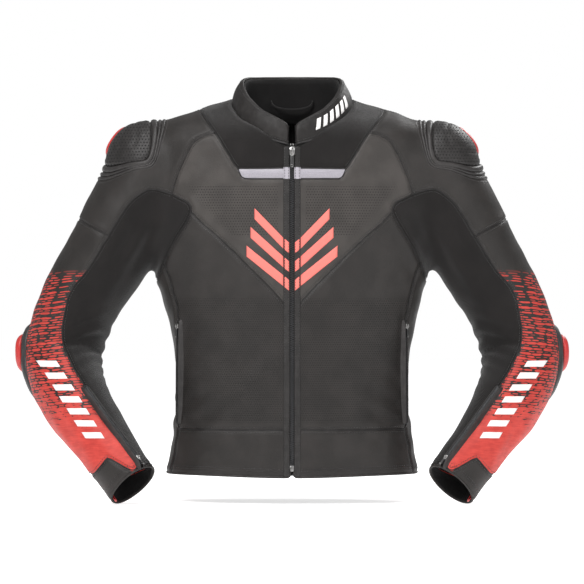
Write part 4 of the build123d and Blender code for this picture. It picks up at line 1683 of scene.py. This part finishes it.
# ------------------------------------------------------------------ front zip
TILT = math.atan2(FRONT_RUN, FRONT_RISE)
ACROSS = np.array([1.0, 0, 0])
UP = np.array([0, math.sin(TILT), math.cos(TILT)])
FORWARD = np.array([0, -math.cos(TILT), math.sin(TILT)])
ZIP_AXES = (ACROSS, UP, FORWARD)
# Section of a front band: distance from the middle, height over the cloth
BAND_PROFILE = [
    (3.3, -3.0), (3.25, 0.2), (3.9, 1.2), (5.2, 1.7), (8.0, 1.8), (11.0, 1.75), (12.8, 1.4),
    (13.6, 0.6), (13.9, -1.6), (8.0, -2.0),
]
TEETH_FOOT, TEETH_TOP = 66, 571


def on_zip(z, depth=0.0):
    """Points on the front line, set back by depth."""
    z = np.asarray(z, float)
    return np.stack([np.zeros(z.shape), front_line(z), z], -1) - FORWARD * depth


def front_bands():
    """The two leather bands beside the front zip, with their stitches."""
    heights = np.arange(50.0, 573.1, 4.0)
    stitch_heights = np.arange(54, 570, SEAM_STITCH_STEP)
    bands, rows = [], []
    for sign in (-1, 1):
        grid = []
        for x, lift in BAND_PROFILE:
            spots, _ = settle(ray_front(np.full(len(heights), sign * x), heights), 1)
            spots[:, 0] = sign * x
            grid.append(spots + np.array([0, -1.0, 0.06]) * lift)
        grid = np.stack(grid, 1)
        grid[..., 1] += 0.25 * waves(grid.reshape(-1, 3), 5, 30).reshape(grid.shape[:2])
        pts, faces = loft(grid)
        bands.append((pts, flipped(faces) if sign > 0 else faces))
        for x in (5.4, 11.4):
            spots = ray_front(np.full(len(stitch_heights), sign * x), stitch_heights)
            spots = spots + np.array([0, -1.95, 0.1])
            out = unit(np.tile([0, -1.0, 0.06], (len(spots), 1)))
            rows.append(stitches(spots, unit(np.gradient(spots, axis=0)), out))
    return join(bands), join(rows)


def ribbon(line, across, out, left, right, thickness, ribs=6):
    """A flat woven strip along a line, with a slight crown."""
    xs = np.linspace(left, right, ribs)
    crown = 0.25 * np.sin(np.linspace(0, math.pi, ribs))
    ring = list(zip(xs, crown)) + list(zip(xs[::-1], crown[::-1] - thickness))
    grid = np.stack([line + across * x + out * z for x, z in ring], 1)
    return facing(loft(grid), out)


def tooth(scale=1.0):
    bar = block((3.2 * scale, 1.45 * scale, 1.9 * scale), 0.3 * scale, 1)
    head = block((1.3 * scale, 1.9 * scale, 1.5 * scale), 0.4 * scale, 1)
    return join([bar, moved(head, [1.5 * scale, 0, 0])])


def teeth(origin, axes, length, scale=1.0, pitch=2.9):
    """Two rows of meshing zip teeth from origin along the second axis."""
    across, along, out = axes
    pitch = pitch * scale
    rows = []
    for sign, start in ((-1, 0.0), (1, 0.5)):
        reach = (np.arange(int(length / pitch)) + start) * pitch
        spots = origin + reach[:, None] * along - out * 1.6 * scale + across * (sign * 1.55 * scale)
        shape = tooth(scale)
        rows.append(scatter(mirror(shape) if sign > 0 else shape, spots, axes))
    return join(rows)


def rounded(width, height, radius, steps=6):
    x, y = width / 2 - radius, height / 2 - radius
    pts = []
    for corner, (mid_x, mid_y) in enumerate(((x, y), (-x, y), (-x, -y), (x, -y))):
        for i in range(steps + 1):
            angle = math.radians(90 * corner + 90 * i / steps)
            pts.append((mid_x + radius * math.cos(angle), mid_y + radius * math.sin(angle)))
    return pts


def zip_stops():
    box = plate(rounded(6.4, 9.0, 1.0), -2.8, -0.2, 0.35)
    bar = block((1.2, 6.5, 0.8), 0.25, 2)
    low = join([box, moved(bar, [-1.8, 0, 0.1]), moved(bar, [1.8, 0, 0.1])])
    stop = block((2.2, 2.6, 2.2), 0.4, 2)
    parts = [place(low, on_zip(63.0), ZIP_AXES)]
    for x in (-1.9, 1.9):
        parts.append(place(moved(stop, [x, 0, -1.4]), on_zip(572.5), ZIP_AXES))
    return join(parts)


# Right half of the slider's plate, from its lower to its upper end
SHIELD_HALF = [
    (3.0, -6.4), (3.7, -5.6), (4.0, -3.0), (4.2, 1.0), (4.5, 3.4), (4.3, 5.4), (3.4, 6.6),
    (1.2, 6.9),
]
SHIELD = (
    [(-3.0, -6.4)] + SHIELD_HALF + [(0, 6.4)] + [(-x, y) for x, y in SHIELD_HALF[:0:-1]]
)
LINK_HALF = [(-2.1, -1.6), (-2.3, -2.6), (-1.2, -5.0), (-2.2, -7.4), (-2.0, -8.6)]
LINK = LINK_HALF + [(-x, y) for x, y in LINK_HALF[::-1]]


def slider_mesh(scale):
    """Zip slider: top plate, bottom plate, neck, side lips and the bridge for the pull."""
    shield = np.array(SHIELD) * scale
    parts = [
        plate(shield, 0.55, 0.5 + 1.5 * scale, 0.35 * scale),
        plate(shield * 0.95, -5.1, -4.0, 0.3 * scale),
        moved(block((0.9, 3.4 * scale, 5.0), 0.15, 1), [0, 4.2 * scale, -1.9]),
    ]
    for sign in (-1, 1):
        lip = block((0.7 * scale, 9.0 * scale, 0.9 * scale), 0.25 * scale, 2)
        parts.append(moved(lip, [sign * 3.9 * scale, -0.6 * scale, 0.45]))
        cheek = block((1.1 * scale, 3.6 * scale, 3.0 * scale), 0.35 * scale, 2)
        parts.append(moved(cheek, [sign * 2.9 * scale, 0, 0.5 + 2.9 * scale]))
    angle = np.linspace(0, math.pi, 12)
    rise = 0.5 + 1.5 * scale + 3.9 * scale * np.sin(angle) ** 0.8
    bridge = np.stack([np.zeros(12), 4.6 * scale * np.cos(angle), rise], 1)
    parts.append(tube(bridge, 0.55 * scale, 8, up=[1.0, 0, 0], flat=1.7))
    pin = np.array([[x * scale, 0, 0.5 + 3.0 * scale] for x in (-2.9, -1.0, 1.0, 2.9)])
    parts.append(tube(pin, 0.7 * scale, 12, up=[0, 0, 1.0]))
    return join(parts)


def capsule(width, low, high, steps=20):
    radius = width / 2
    pts = []
    for start, here, ahead in ((0, high - radius, low + radius), (1, low + radius, high - radius)):
        for i in range(steps + 1):
            angle = start * math.pi + math.pi * i / steps
            pts.append((radius * math.cos(angle), here + radius * math.sin(angle)))
        x = radius if start else -radius
        pts += [(x, here + (ahead - here) * k / 6) for k in range(1, 6)]
    return pts


def pull_mesh(scale, length):
    """The metal link round the pin, the grip, and the eyelet near the grip's end."""
    pin = 0.5 + 3.0 * scale
    angle = np.linspace(0, 2 * math.pi, 17)[:-1]
    along = 1.4 * scale * np.sin(angle) - 0.4 * scale
    loop = np.stack([np.zeros(16), along, pin + 1.2 * scale * np.cos(angle)], 1)
    link = [
        tube(loop, 0.45 * scale, 6, up=[1.0, 0, 0], flat=4.0, closed=True),
        plate(np.array(LINK) * scale, pin - 0.75 * scale, pin + 0.55 * scale, 0.25 * scale),
    ]
    hole = np.array([0, -(length - 3.6 * scale)])
    grip = [ring_plate(
        capsule(6.2 * scale, -length, -7.4 * scale), hole, 1.6 * scale,
        pin - 0.8 * scale, pin + 0.8 * scale, 0.3 * scale,
    )]
    for k in range(4):
        ridge = block((3.6 * scale, 0.7 * scale, 0.6 * scale), 0.2 * scale, 1)
        grip.append(moved(ridge, [0, -(10.0 + 2.1 * k) * scale, pin + 0.85 * scale]))
    angle = np.linspace(0, 2 * math.pi, 25)[:-1]
    radius = 1.75 * scale
    ring = np.stack([
        radius * np.cos(angle), hole[1] + radius * np.sin(angle),
        np.full(24, pin + 0.7 * scale),
    ], 1)
    eyelet = tube(ring, 0.45 * scale, 6, up=[0, 0, 1.0], closed=True)
    return join(link), join(grip), eyelet


def fit_slider(tag, bodies, origin, axes, scale, length):
    """A slider with its pull. bodies is the name pattern of their bodies in the frame."""
    slider, pull = bodies.format("slider"), bodies.format("pull")
    link, grip, eyelet = pull_mesh(scale, length)
    for name, mesh, mat, body_name, *nodes in (
        ("_slider_metal", slider_mesh(scale), METAL, slider, slider),
        ("_pull_link", link, METAL, pull, pull),
        ("_pull_grip", grip, PULL, pull),
        ("_pull_eyelet", eyelet, METAL, pull),
    ):
        piece(tag + name, place(mesh, origin, axes), mat, body_name, *nodes)


_bands, _rows = front_bands()
piece("front_bands", _bands, PLACKET, "torso", subdivide="bev")
piece("front_band_stitches", _rows, THREAD, "torso")
_line = on_zip(np.arange(52, 574.1, 6.0), 2.8)
_strips = [
    ribbon(_line, ACROSS, FORWARD, left, right, 0.7) for left, right in ((-15.5, -1.2), (1.2, 15.5))
]
piece("front_zip_tape_cloth", join(_strips), TAPE, "torso", "front_zip_tapes")
_flap = ribbon(on_zip(np.arange(52, 570, 8.0), 7.2), ACROSS, FORWARD, -22, 22, 1.4, ribs=10)
piece("wind_flap_cloth", _flap, LINING, "torso", "wind_flap")
_teeth = teeth(on_zip(TEETH_FOOT), ZIP_AXES, TEETH_TOP - TEETH_FOOT)
piece("front_zip_teeth_metal", _teeth, TEETH, "torso", "front_zip_teeth", smooth=False)
piece("front_zip_ends", zip_stops(), METAL, "torso", "front_zip_stops")
fit_slider("front_zip", "front_zip_{}", on_zip(562.0), ZIP_AXES, scale=1.0, length=27.0)

# ------------------------------------------------------------------ pocket and cuff zips
SMALL_ZIP = 0.62  # size of the pocket and cuff zips against the front zip
# Sleeve section at a station, for the cuff zip: direction down the arm, radii
CUFF_ZIP_RINGS = {
    9: ((0.45, -0.46, -0.766), (55, 52)),
    10: ((0.53, -0.46, -0.713), (47.6, 44)),
    12: ((0.54, -0.46, -0.704), (44.5, 37)),
}


def ring_point(station, degrees, lift):
    """A point above the sleeve at a station, turned round it from outwards."""
    centre, outward = (np.array(v, float) for v in STATIONS[station][:2])
    down, radii = CUFF_ZIP_RINGS[station]
    down = unit(down)
    out = unit(outward - down * (outward @ down))
    side = np.cross(down, out)
    angle = math.radians(degrees)
    shift = out * (radii[0] + lift) * math.cos(angle)
    return centre + shift + side * (radii[1] + lift) * math.sin(angle)


def zip_lip(line, axes, sign, flip, end):
    """One padded lip beside a zip, running down to the cloth. end sinks it at its ends."""
    across, _, out = axes
    grid = []
    for x, z in ((1.9, -3.0), (2.0, -0.7), (2.5, 0.3), (3.4, 0.6), (4.4, 0.1)):
        grid.append(line + across * (sign * x) + out * z)
    for x, lift in ((6.2, 1.2), (8.0, 0.2), (9.2, -1.4)):
        spots, normal = draped(line + across * (sign * x) - out * 4, flip, 3)
        grid.append(spots + normal * lift)
    grid.append(line + across * (sign * 3.0) - out * 5.0)
    grid = np.stack(grid, 1)
    sunk, normal = draped(line - out * 5, flip, 3)
    sunk = sunk + normal * -1.2
    spread = across * (sign * np.array([2, 2, 2.5, 3, 4, 6, 7, 8, 3.0]))[None, :, None]
    end = end[:, None, None]
    pts, faces = loft(grid * end + (sunk[:, None] + spread) * (1 - end))
    return pts, flipped(faces) if sign < 0 else faces


def welted_zip(kind, side, flip, top, low, out, body_name, nodes, share, pull_length):
    """A short zip between two lips. share is how far up the slider sits."""
    tag = kind + "_" + side
    along = unit(top - low)
    across = unit(np.cross(along, out))
    axes = (across, along, unit(np.cross(across, along)))
    length = norm(top - low)
    count = int(length / 4) + 1
    line = low + np.linspace(-0.02, 1.02, count)[:, None] * (top - low)
    end = ease(np.minimum(np.linspace(0, 1, count), np.linspace(1, 0, count)) / 0.05)
    lips = join([zip_lip(line, axes, sign, flip, end) for sign in (-1, 1)])
    piece(tag + "_lips", to_side(lips, side), RIB, body_name, subdivide="sub")
    strips = [
        moved(ribbon(line[1:-1], across, axes[2], left, right, 0.6), -axes[2] * 1.6)
        for left, right in ((-3.2, -0.7), (0.7, 3.2))
    ]
    piece(tag + "_tape", to_side(join(strips), side), TAPE, body_name)
    rows = teeth(low + along * 2, axes, length - 5, SMALL_ZIP)
    piece(tag + "_teeth", to_side(rows, side), TEETH, body_name, *nodes, smooth=False)
    # the slider is turned to the other side, not mirrored
    turned = (across * flip * flip[0], along * flip, axes[2] * flip)
    origin = (low + (top - low) * share) * flip
    fit_slider(tag, kind + "_{}_" + side, origin, turned, SMALL_ZIP, pull_length)


for side, flip in SIDES:
    welted_zip(
        "pocket", side, flip,
        top=np.array([-181.9, -51.2, 296]), low=np.array([-182.6, -49.2, 128]),
        out=unit(np.array([-0.8, -0.6, 0])), body_name="torso",
        nodes=["pocket_zips"] if side == "right" else [], share=0.94, pull_length=19.0,
    )
    welted_zip(
        "cuff", side, flip, top=ring_point(9, -138, 7.0), low=ring_point(12, -150, 7.0),
        out=unit(ring_point(10, -144, 10.0) - ring_point(10, -144, 0.0)),
        body_name="forearm_" + side, nodes=["cuff_zip_" + side], share=0.08, pull_length=17.0,
    )

# ------------------------------------------------------------------ armour
TREE = BVHTree.FromPolygons(points.tolist(), tris.tolist())
SHOULDER_JOINT = np.array([-222.0, 5, 532])
# Direction of the shoulder cup's middle, and the direction its angles are counted from
CUP_AIM = ((-0.70, 0, 0.714), (0.714, 0, 0.70))
# Degrees round the shoulder cup, and its edge's degrees from the middle
CUP_EDGE = (
    [0, 15, 30, 45, 58, 68, 76, 84, 91, 98, 106, 116, 130, 143, 155, 168, 180],
    [39, 41, 46, 52.5, 60, 66, 70, 71.5, 69, 63.5, 58, 53, 48, 44, 40, 36, 34],
)
# Ribs round the cup: degrees beyond its edge, lift, radius, flatness
RIBS = (
    (5.6, 0.2, 5.2, 0.72), (12.4, 0.1, 2.5, 0.95), (16.9, 0.0, 2.4, 0.9), (21.0, -0.6, 1.2, 0.9),
)


def cast(centre, rays):
    """Where rays from a joint meet the outside of the garment."""
    found = np.empty((len(rays), 3))
    for i, ray in enumerate(rays):
        hit = TREE.ray_cast(Vector(centre + ray * 240), Vector(-ray), 235)[0]
        # a ray through an opening meets nothing
        found[i] = hit if hit is not None else centre + ray * 70
    return found


def aim_axes(middle_ray, start):
    middle_ray = unit(middle_ray)
    start = np.array(start, float)
    start = unit(start - middle_ray * (start @ middle_ray))
    return middle_ray, start, np.cross(middle_ray, start)


def cone_rays(axes, reach, turn):
    """Rays that lean from the middle by reach, towards turn."""
    reach, turn = reach[..., None], turn[..., None]
    lean = (axes[1] * np.cos(turn) + axes[2] * np.sin(turn)) * np.sin(reach)
    return axes[0] * np.cos(reach) + lean


def dome(centre, aim, edge, height, base, around, rings, flip):
    """A moulded plate on the cloth round a joint. edge(turn) is its rim in degrees from the
    middle, and height(share) its height at a share of the way to the rim."""
    axes = aim_axes(*aim)
    turns = np.linspace(0, 2 * math.pi, around, endpoint=False)
    turn, share = np.meshgrid(turns, np.linspace(0, 1, rings + 1)[1:], indexing="ij")
    rays = cone_rays(axes, np.radians(edge(turn)) * share, turn)
    rays = np.concatenate([axes[0][None], rays.reshape(-1, 3)])
    pts, out = settle(cast(centre, rays), 1)
    lift = np.concatenate([[height(0.0)], height(share).ravel()]) + base
    fold = relief(pts * flip) * 0.5
    top = pts + out * (lift + fold)[:, None]
    under = pts + out * (np.minimum(base - 2.0, lift - 1.0) + fold)[:, None]
    faces, rim = [], []
    count = len(pts)
    for i in range(around):
        here, ahead = 1 + i * rings, 1 + (i + 1) % around * rings
        faces.append([0, here, ahead])
        for k in range(rings - 1):
            faces.append([here + k, here + k + 1, ahead + k + 1, ahead + k])
        here, ahead = here + rings - 1, ahead + rings - 1
        rim.append([here, here + count, ahead + count, ahead])
    faces += [[v + count for v in face][::-1] for face in faces] + rim
    return facing((np.concatenate([top, under]), faces), axes[0])


def cup_edge(turn):
    """The cup reaches furthest down the front and back, with a step in its lower edge."""
    degrees = np.degrees(np.arccos(np.clip(np.cos(turn), -1, 1)))
    return np.interp(degrees, *CUP_EDGE)


def cup_height(share):
    rise = 6.2 * (1 - share**2.6) * (1 - 0.25 * bell(share, 0.62, 0.05))
    return 1.5 + rise + 1.0 * bell(share, 0.93, 0.05)


def shoulder_slider_height(share):
    return 0.8 + 4.4 * (1 - share**6) - 0.5 * bell(share, 0.62, 0.05)


def elbow_cup_edge(turn):
    """The elbow cup reaches furthest down the forearm."""
    return 32 + 7 * np.cos(turn) ** 2 + 38 * np.clip(-np.cos(turn), 0, 1) ** 3


def elbow_cup_height(share):
    return 1.6 + 8.8 * (1 - share**4) + 0.8 * bell(share, 0.88, 0.045)


def elbow_slider_height(share):
    return 1.0 + 7.6 * (1 - share**7) - 0.7 * bell(share, 0.6, 0.05)


def shoulder_ribs(flip):
    axes = aim_axes(*CUP_AIM)
    turn = np.linspace(0, 2 * math.pi, 150, endpoint=False)
    ribs = []
    for beyond, lift, radius, flat in RIBS:
        reach = np.radians(cup_edge(turn) + beyond * (0.72 + 0.28 * np.cos(turn) ** 2))
        spots, out = draped(cast(SHOULDER_JOINT, cone_rays(axes, reach, turn)), flip, 1)
        line = fair_loop(spots + out * lift, 3)
        radii = radius * (0.75 + 0.25 * np.cos(turn) ** 2)
        ribs.append(tube(line, radii, 12, up=out, flat=flat, closed=True))
    return join(ribs)


for side, flip in SIDES:
    shoulder, elbow = "shoulder_" + side, "elbow_" + side
    cup = dome(
        SHOULDER_JOINT, CUP_AIM, cup_edge, cup_height, base=0.6, around=96, rings=22, flip=flip
    )
    piece(
        "shoulder_cup_shell_" + side, to_side(cup, side), CUP_LEATHER, shoulder,
        "shoulder_cup_" + side,
    )
    piece(
        "shoulder_ribs_" + side, to_side(shoulder_ribs(flip), side), RIB, shoulder,
        "shoulder_bellows_" + side,
    )
    slider = dome(
        SHOULDER_JOINT, ((-0.73, 0.26, 0.63), (0.63, 0, 0.73)),
        lambda turn: 15 + 6 * np.cos(turn) ** 2, shoulder_slider_height,
        base=6.6, around=72, rings=18, flip=flip,
    )
    piece(
        "shoulder_slider_plate_" + side, to_side(slider, side), RED, shoulder,
        "shoulder_slider_" + side,
    )
    cup = dome(
        ELBOW, ((-0.90, 0.42, -0.06), (0.0, 0, 1.0)), elbow_cup_edge, elbow_cup_height,
        base=0.4, around=88, rings=22, flip=flip,
    )
    piece(
        "elbow_cup_shell_" + side, to_side(cup, side), CUP_PLASTIC, elbow, "elbow_cup_" + side
    )
    slider = dome(
        ELBOW, ((-0.93, 0.33, -0.13), (0.0, 0, 1.0)),
        lambda turn: 18 + 8 * np.cos(turn) ** 2, elbow_slider_height,
        base=10.2, around=72, rings=18, flip=flip,
    )
    piece(
        "elbow_slider_plate_" + side, to_side(slider, side), RED, elbow, "elbow_slider_" + side
    )


# ------------------------------------------------------------------ prints
def patch(corners, rows, cols):
    """A grid of spots between four corners on the sheet."""
    one, two, three, four = (np.array(corner, float) for corner in corners)
    spots = []
    for down in np.linspace(0, 1, rows):
        for side in np.linspace(0, 1, cols):
            near = one * (1 - side) + two * side
            far = four * (1 - side) + three * side
            spots.append(near * (1 - down) + far * down)
    return np.array(spots)


def print_on(shapes, flip, height, rows, cols):
    """Raised prints from four-cornered shapes on the sheet."""
    parts = []
    for corners in shapes:
        spots, out = settle(thrown(patch(corners, rows, cols)) * flip, 1)
        spots = spots + out * relief(spots)[:, None]
        parts.append(slab(spots.reshape(rows, cols, 3), out.reshape(rows, cols, 3), height))
    return parts


def sleeve_bars():
    """Seven slanted bars down the sleeve, between two ends on the sheet."""
    start, end = np.array([395.2, 229.6]), np.array([314.4, 92.0])
    pitch, half_width, slant, thickness = 22.72, 13.12, 8.0, 11.52
    down = (end - start) / norm(end - start)
    half = np.array([down[1], -down[0]]) * half_width
    lean, thick = down * slant, down * thickness
    bars = []
    for i in range(7):
        spot = start + down * (i * pitch)
        inner, outer = spot - half - lean, spot + half + lean
        bars.append([inner, outer, outer + thick, inner + thick])
    return bars


# Heights on the sheet of the three chevrons' points, and their spacing
CHEVRON_PITCH = 30.4
CHEVRONS = [(i, 367.2 + CHEVRON_PITCH * i) for i in range(3)]


def chest_chevrons():
    shapes = []
    for i, z in CHEVRONS:
        outer = 73.6 - 6.4 * i
        shapes.append([(14.08, z), (outer, z + 48.0), (outer, z + 30.4), (14.08, z - 17.6)])
    return join([part for _, flip in SIDES for part in print_on(shapes, flip, 0.42, 6, 16)])


def band_chevrons():
    """The chevrons' continuation over the front bands."""
    parts = []
    out = np.tile([0, -1.0, 0.05], (5, 4, 1))
    for _, flip in SIDES:
        for _, z in CHEVRONS:
            corners = [(4.8, z - 7.52), (12.16, z - 1.6), (12.16, z - 19.2), (4.8, z - 25.12)]
            spots, _ = settle(thrown(patch(corners, 5, 4)) * flip, 1)
            spots[:, 1] -= 1.75
            parts.append(slab(spots.reshape(5, 4, 3), out, 0.35))
    return join(parts)


for side, flip in SIDES:
    bars = join(print_on(sleeve_bars(), flip, 0.45, 5, 9))
    piece("sleeve_print_" + side, bars, WHITE, "elbow_" + side)
piece("chest_chevrons", chest_chevrons(), SALMON, "torso")
piece("band_chevrons", band_chevrons(), SALMON, "torso")


# ------------------------------------------------------------------ small cloth parts
def cuff_tab():
    """A folded tab inside the cuff."""
    i = slice_at(CUFF_AT)
    turn = -0.5
    out_part, back_part = OUTWARD[i] * math.cos(turn), BACKWARD[i] * math.sin(turn)
    foot = MIDDLE[i] + out_part * (RADII[i, 0] - 5) + back_part * (RADII[i, 1] - 5)
    out = unit(out_part + back_part)
    along = NORMAL[i]
    # distance along the arm, and outwards
    fold = ((-10, 0), (-2, 0), (3.5, 0), (5.0, -1.2), (3.5, -2.4), (-2, -2.4), (-10, -2.4))
    line = resample(np.array([foot + along * reach + out * rise for reach, rise in fold]), 1.0)
    return tube(line, 0.55, 12, up=np.cross(along, out), flat=8.0)


def hanger_loop():
    angle = np.linspace(0, math.pi, 26)
    sine = np.sin(angle)
    line = np.stack([-33 * np.cos(angle), 54.0 - 5 * sine, 649 - 15 * sine**0.7], 1)
    return tube(line, 0.7, 10, up=[0, 0.6, 0.8], flat=3.2)


def trouser_zip():
    """The tape and one row of teeth inside the back, near the hem."""
    turn = np.linspace(-0.62, 0.62, 90)
    height = np.full(90, 75.0)
    wide, mid, deep = torso_section(height)
    face = np.stack([wide * np.sin(turn), mid + deep * np.cos(turn), height], 1)
    spots, out = settle(face, 2)
    line = spots - out * 6.8
    across = np.cross(out, unit(np.gradient(line, axis=0)))
    xs = np.linspace(-9, 9, 6)
    ring = [line + across * x for x in xs] + [line + across * x - out * 0.8 for x in xs[::-1]]
    row = resample(line, 1.9)
    _, out = settle(row, 1)
    along = unit(np.gradient(row, axis=0))
    across = np.cross(out, along)
    row_teeth = scatter(
        tooth(SMALL_ZIP), row - out * 1.0 - across * 8.5, (across * -1, along, out)
    )
    return loft(np.stack(ring, 1)), row_teeth


for side, _ in SIDES:
    piece("cuff_tab_" + side, to_side(cuff_tab(), side), RED, "forearm_" + side)
piece("hanger_loop_cloth", hanger_loop(), LINING, "torso", "hanger_loop")
_tape, _teeth = trouser_zip()
piece("trouser_zip_tape", _tape, TAPE, "torso", "trouser_connection_zip")
piece("trouser_zip_teeth", _teeth, TEETH, "torso", smooth=False)

# The hidden protectors keep the frame's shape, in foam.
for name in (
    "back_protector", "shoulder_protector_right", "shoulder_protector_left",
    "elbow_protector_right", "elbow_protector_left",
):
    ob = frame["nodes"][name]
    for slot in ob.material_slots:
        slot.link = "OBJECT"
        slot.material = FOAM
    if not ob.material_slots:
        ob.data.materials.append(FOAM)

# ------------------------------------------------------------------ studio
CAMERA_DISTANCE = 6000
VIEW_WIDTH = 934.4  # width in view at the garment's middle
SENSOR_WIDTH = 36.0


def studio_floor():
    mat = Mat("studio_floor", (0.93, 0.93, 0.93), rough=0.9, spec=0.1)
    mat.put(mat.bsdf, "Emission Color", (1, 1, 1, 1))
    mat.put(mat.bsdf, "Emission Strength", 0.66)
    bm = bmesh.new()
    bmesh.ops.create_grid(bm, x_segments=8, y_segments=8, size=12.0)
    data = bpy.data.meshes.new("floor")
    bm.to_mesh(data)
    bm.free()
    data.materials.append(mat.material)
    ob = bpy.data.objects.new("floor", data)
    ob.location.z = CAD_BOX[0][2] - 0.001
    bpy.context.scene.collection.objects.link(ob)


def studio_world():
    """White for the camera, and dimmer as a light."""
    world = bpy.data.worlds.new("studio")
    world.use_nodes = True
    nodes, links = world.node_tree.nodes, world.node_tree.links
    light = nodes["Background"]
    seen = nodes.new("ShaderNodeBackground")
    for background, strength in ((light, 0.43), (seen, 1.0)):
        background.inputs[0].default_value = (1.0, 1.0, 1.0, 1)
        background.inputs[1].default_value = strength
    mix = nodes.new("ShaderNodeMixShader")
    links.new(nodes.new("ShaderNodeLightPath").outputs["Is Camera Ray"], mix.inputs[0])
    links.new(light.outputs[0], mix.inputs[1])
    links.new(seen.outputs[0], mix.inputs[2])
    links.new(mix.outputs[0], nodes["World Output"].inputs[0])
    bpy.context.scene.world = world


def area_light(name, location, target, size, power):
    light = bpy.data.lights.new(name, "AREA")
    light.shape = "DISK"
    light.size = size
    light.energy = power
    ob = bpy.data.objects.new(name, light)
    ob.location = location
    aim = Vector(np.array(target, float) - np.array(location, float))
    ob.rotation_euler = aim.to_track_quat("-Z", "Y").to_euler()
    bpy.context.scene.collection.objects.link(ob)


def studio_camera():
    lens = bpy.data.cameras.new("camera")
    lens.sensor_width = SENSOR_WIDTH
    lens.lens = SENSOR_WIDTH * CAMERA_DISTANCE / VIEW_WIDTH
    lens.clip_end = 50
    ob = bpy.data.objects.new("camera", lens)
    ob.location = tuple(to_metres(np.array([0.0, -CAMERA_DISTANCE, EYE_HEIGHT])))
    ob.rotation_euler = (math.pi / 2, 0, 0)
    bpy.context.scene.collection.objects.link(ob)
    bpy.context.scene.camera = ob


studio_floor()
studio_world()
area_light("key", location=(-1.1, -2.2, 2.1), target=(0, 0, 0.42), size=1.0, power=57)
area_light("fill", location=(1.9, -2.0, 1.2), target=(0, 0, 0.40), size=1.4, power=18.5)
area_light("rim", location=(1.2, 1.5, 1.8), target=(0, 0, 0.5), size=0.9, power=22)
area_light("top", location=(0, -0.7, 2.3), target=(0, 0, 0.5), size=1.1, power=27)
studio_camera()
bpy.context.scene.view_settings.view_transform = "Standard"
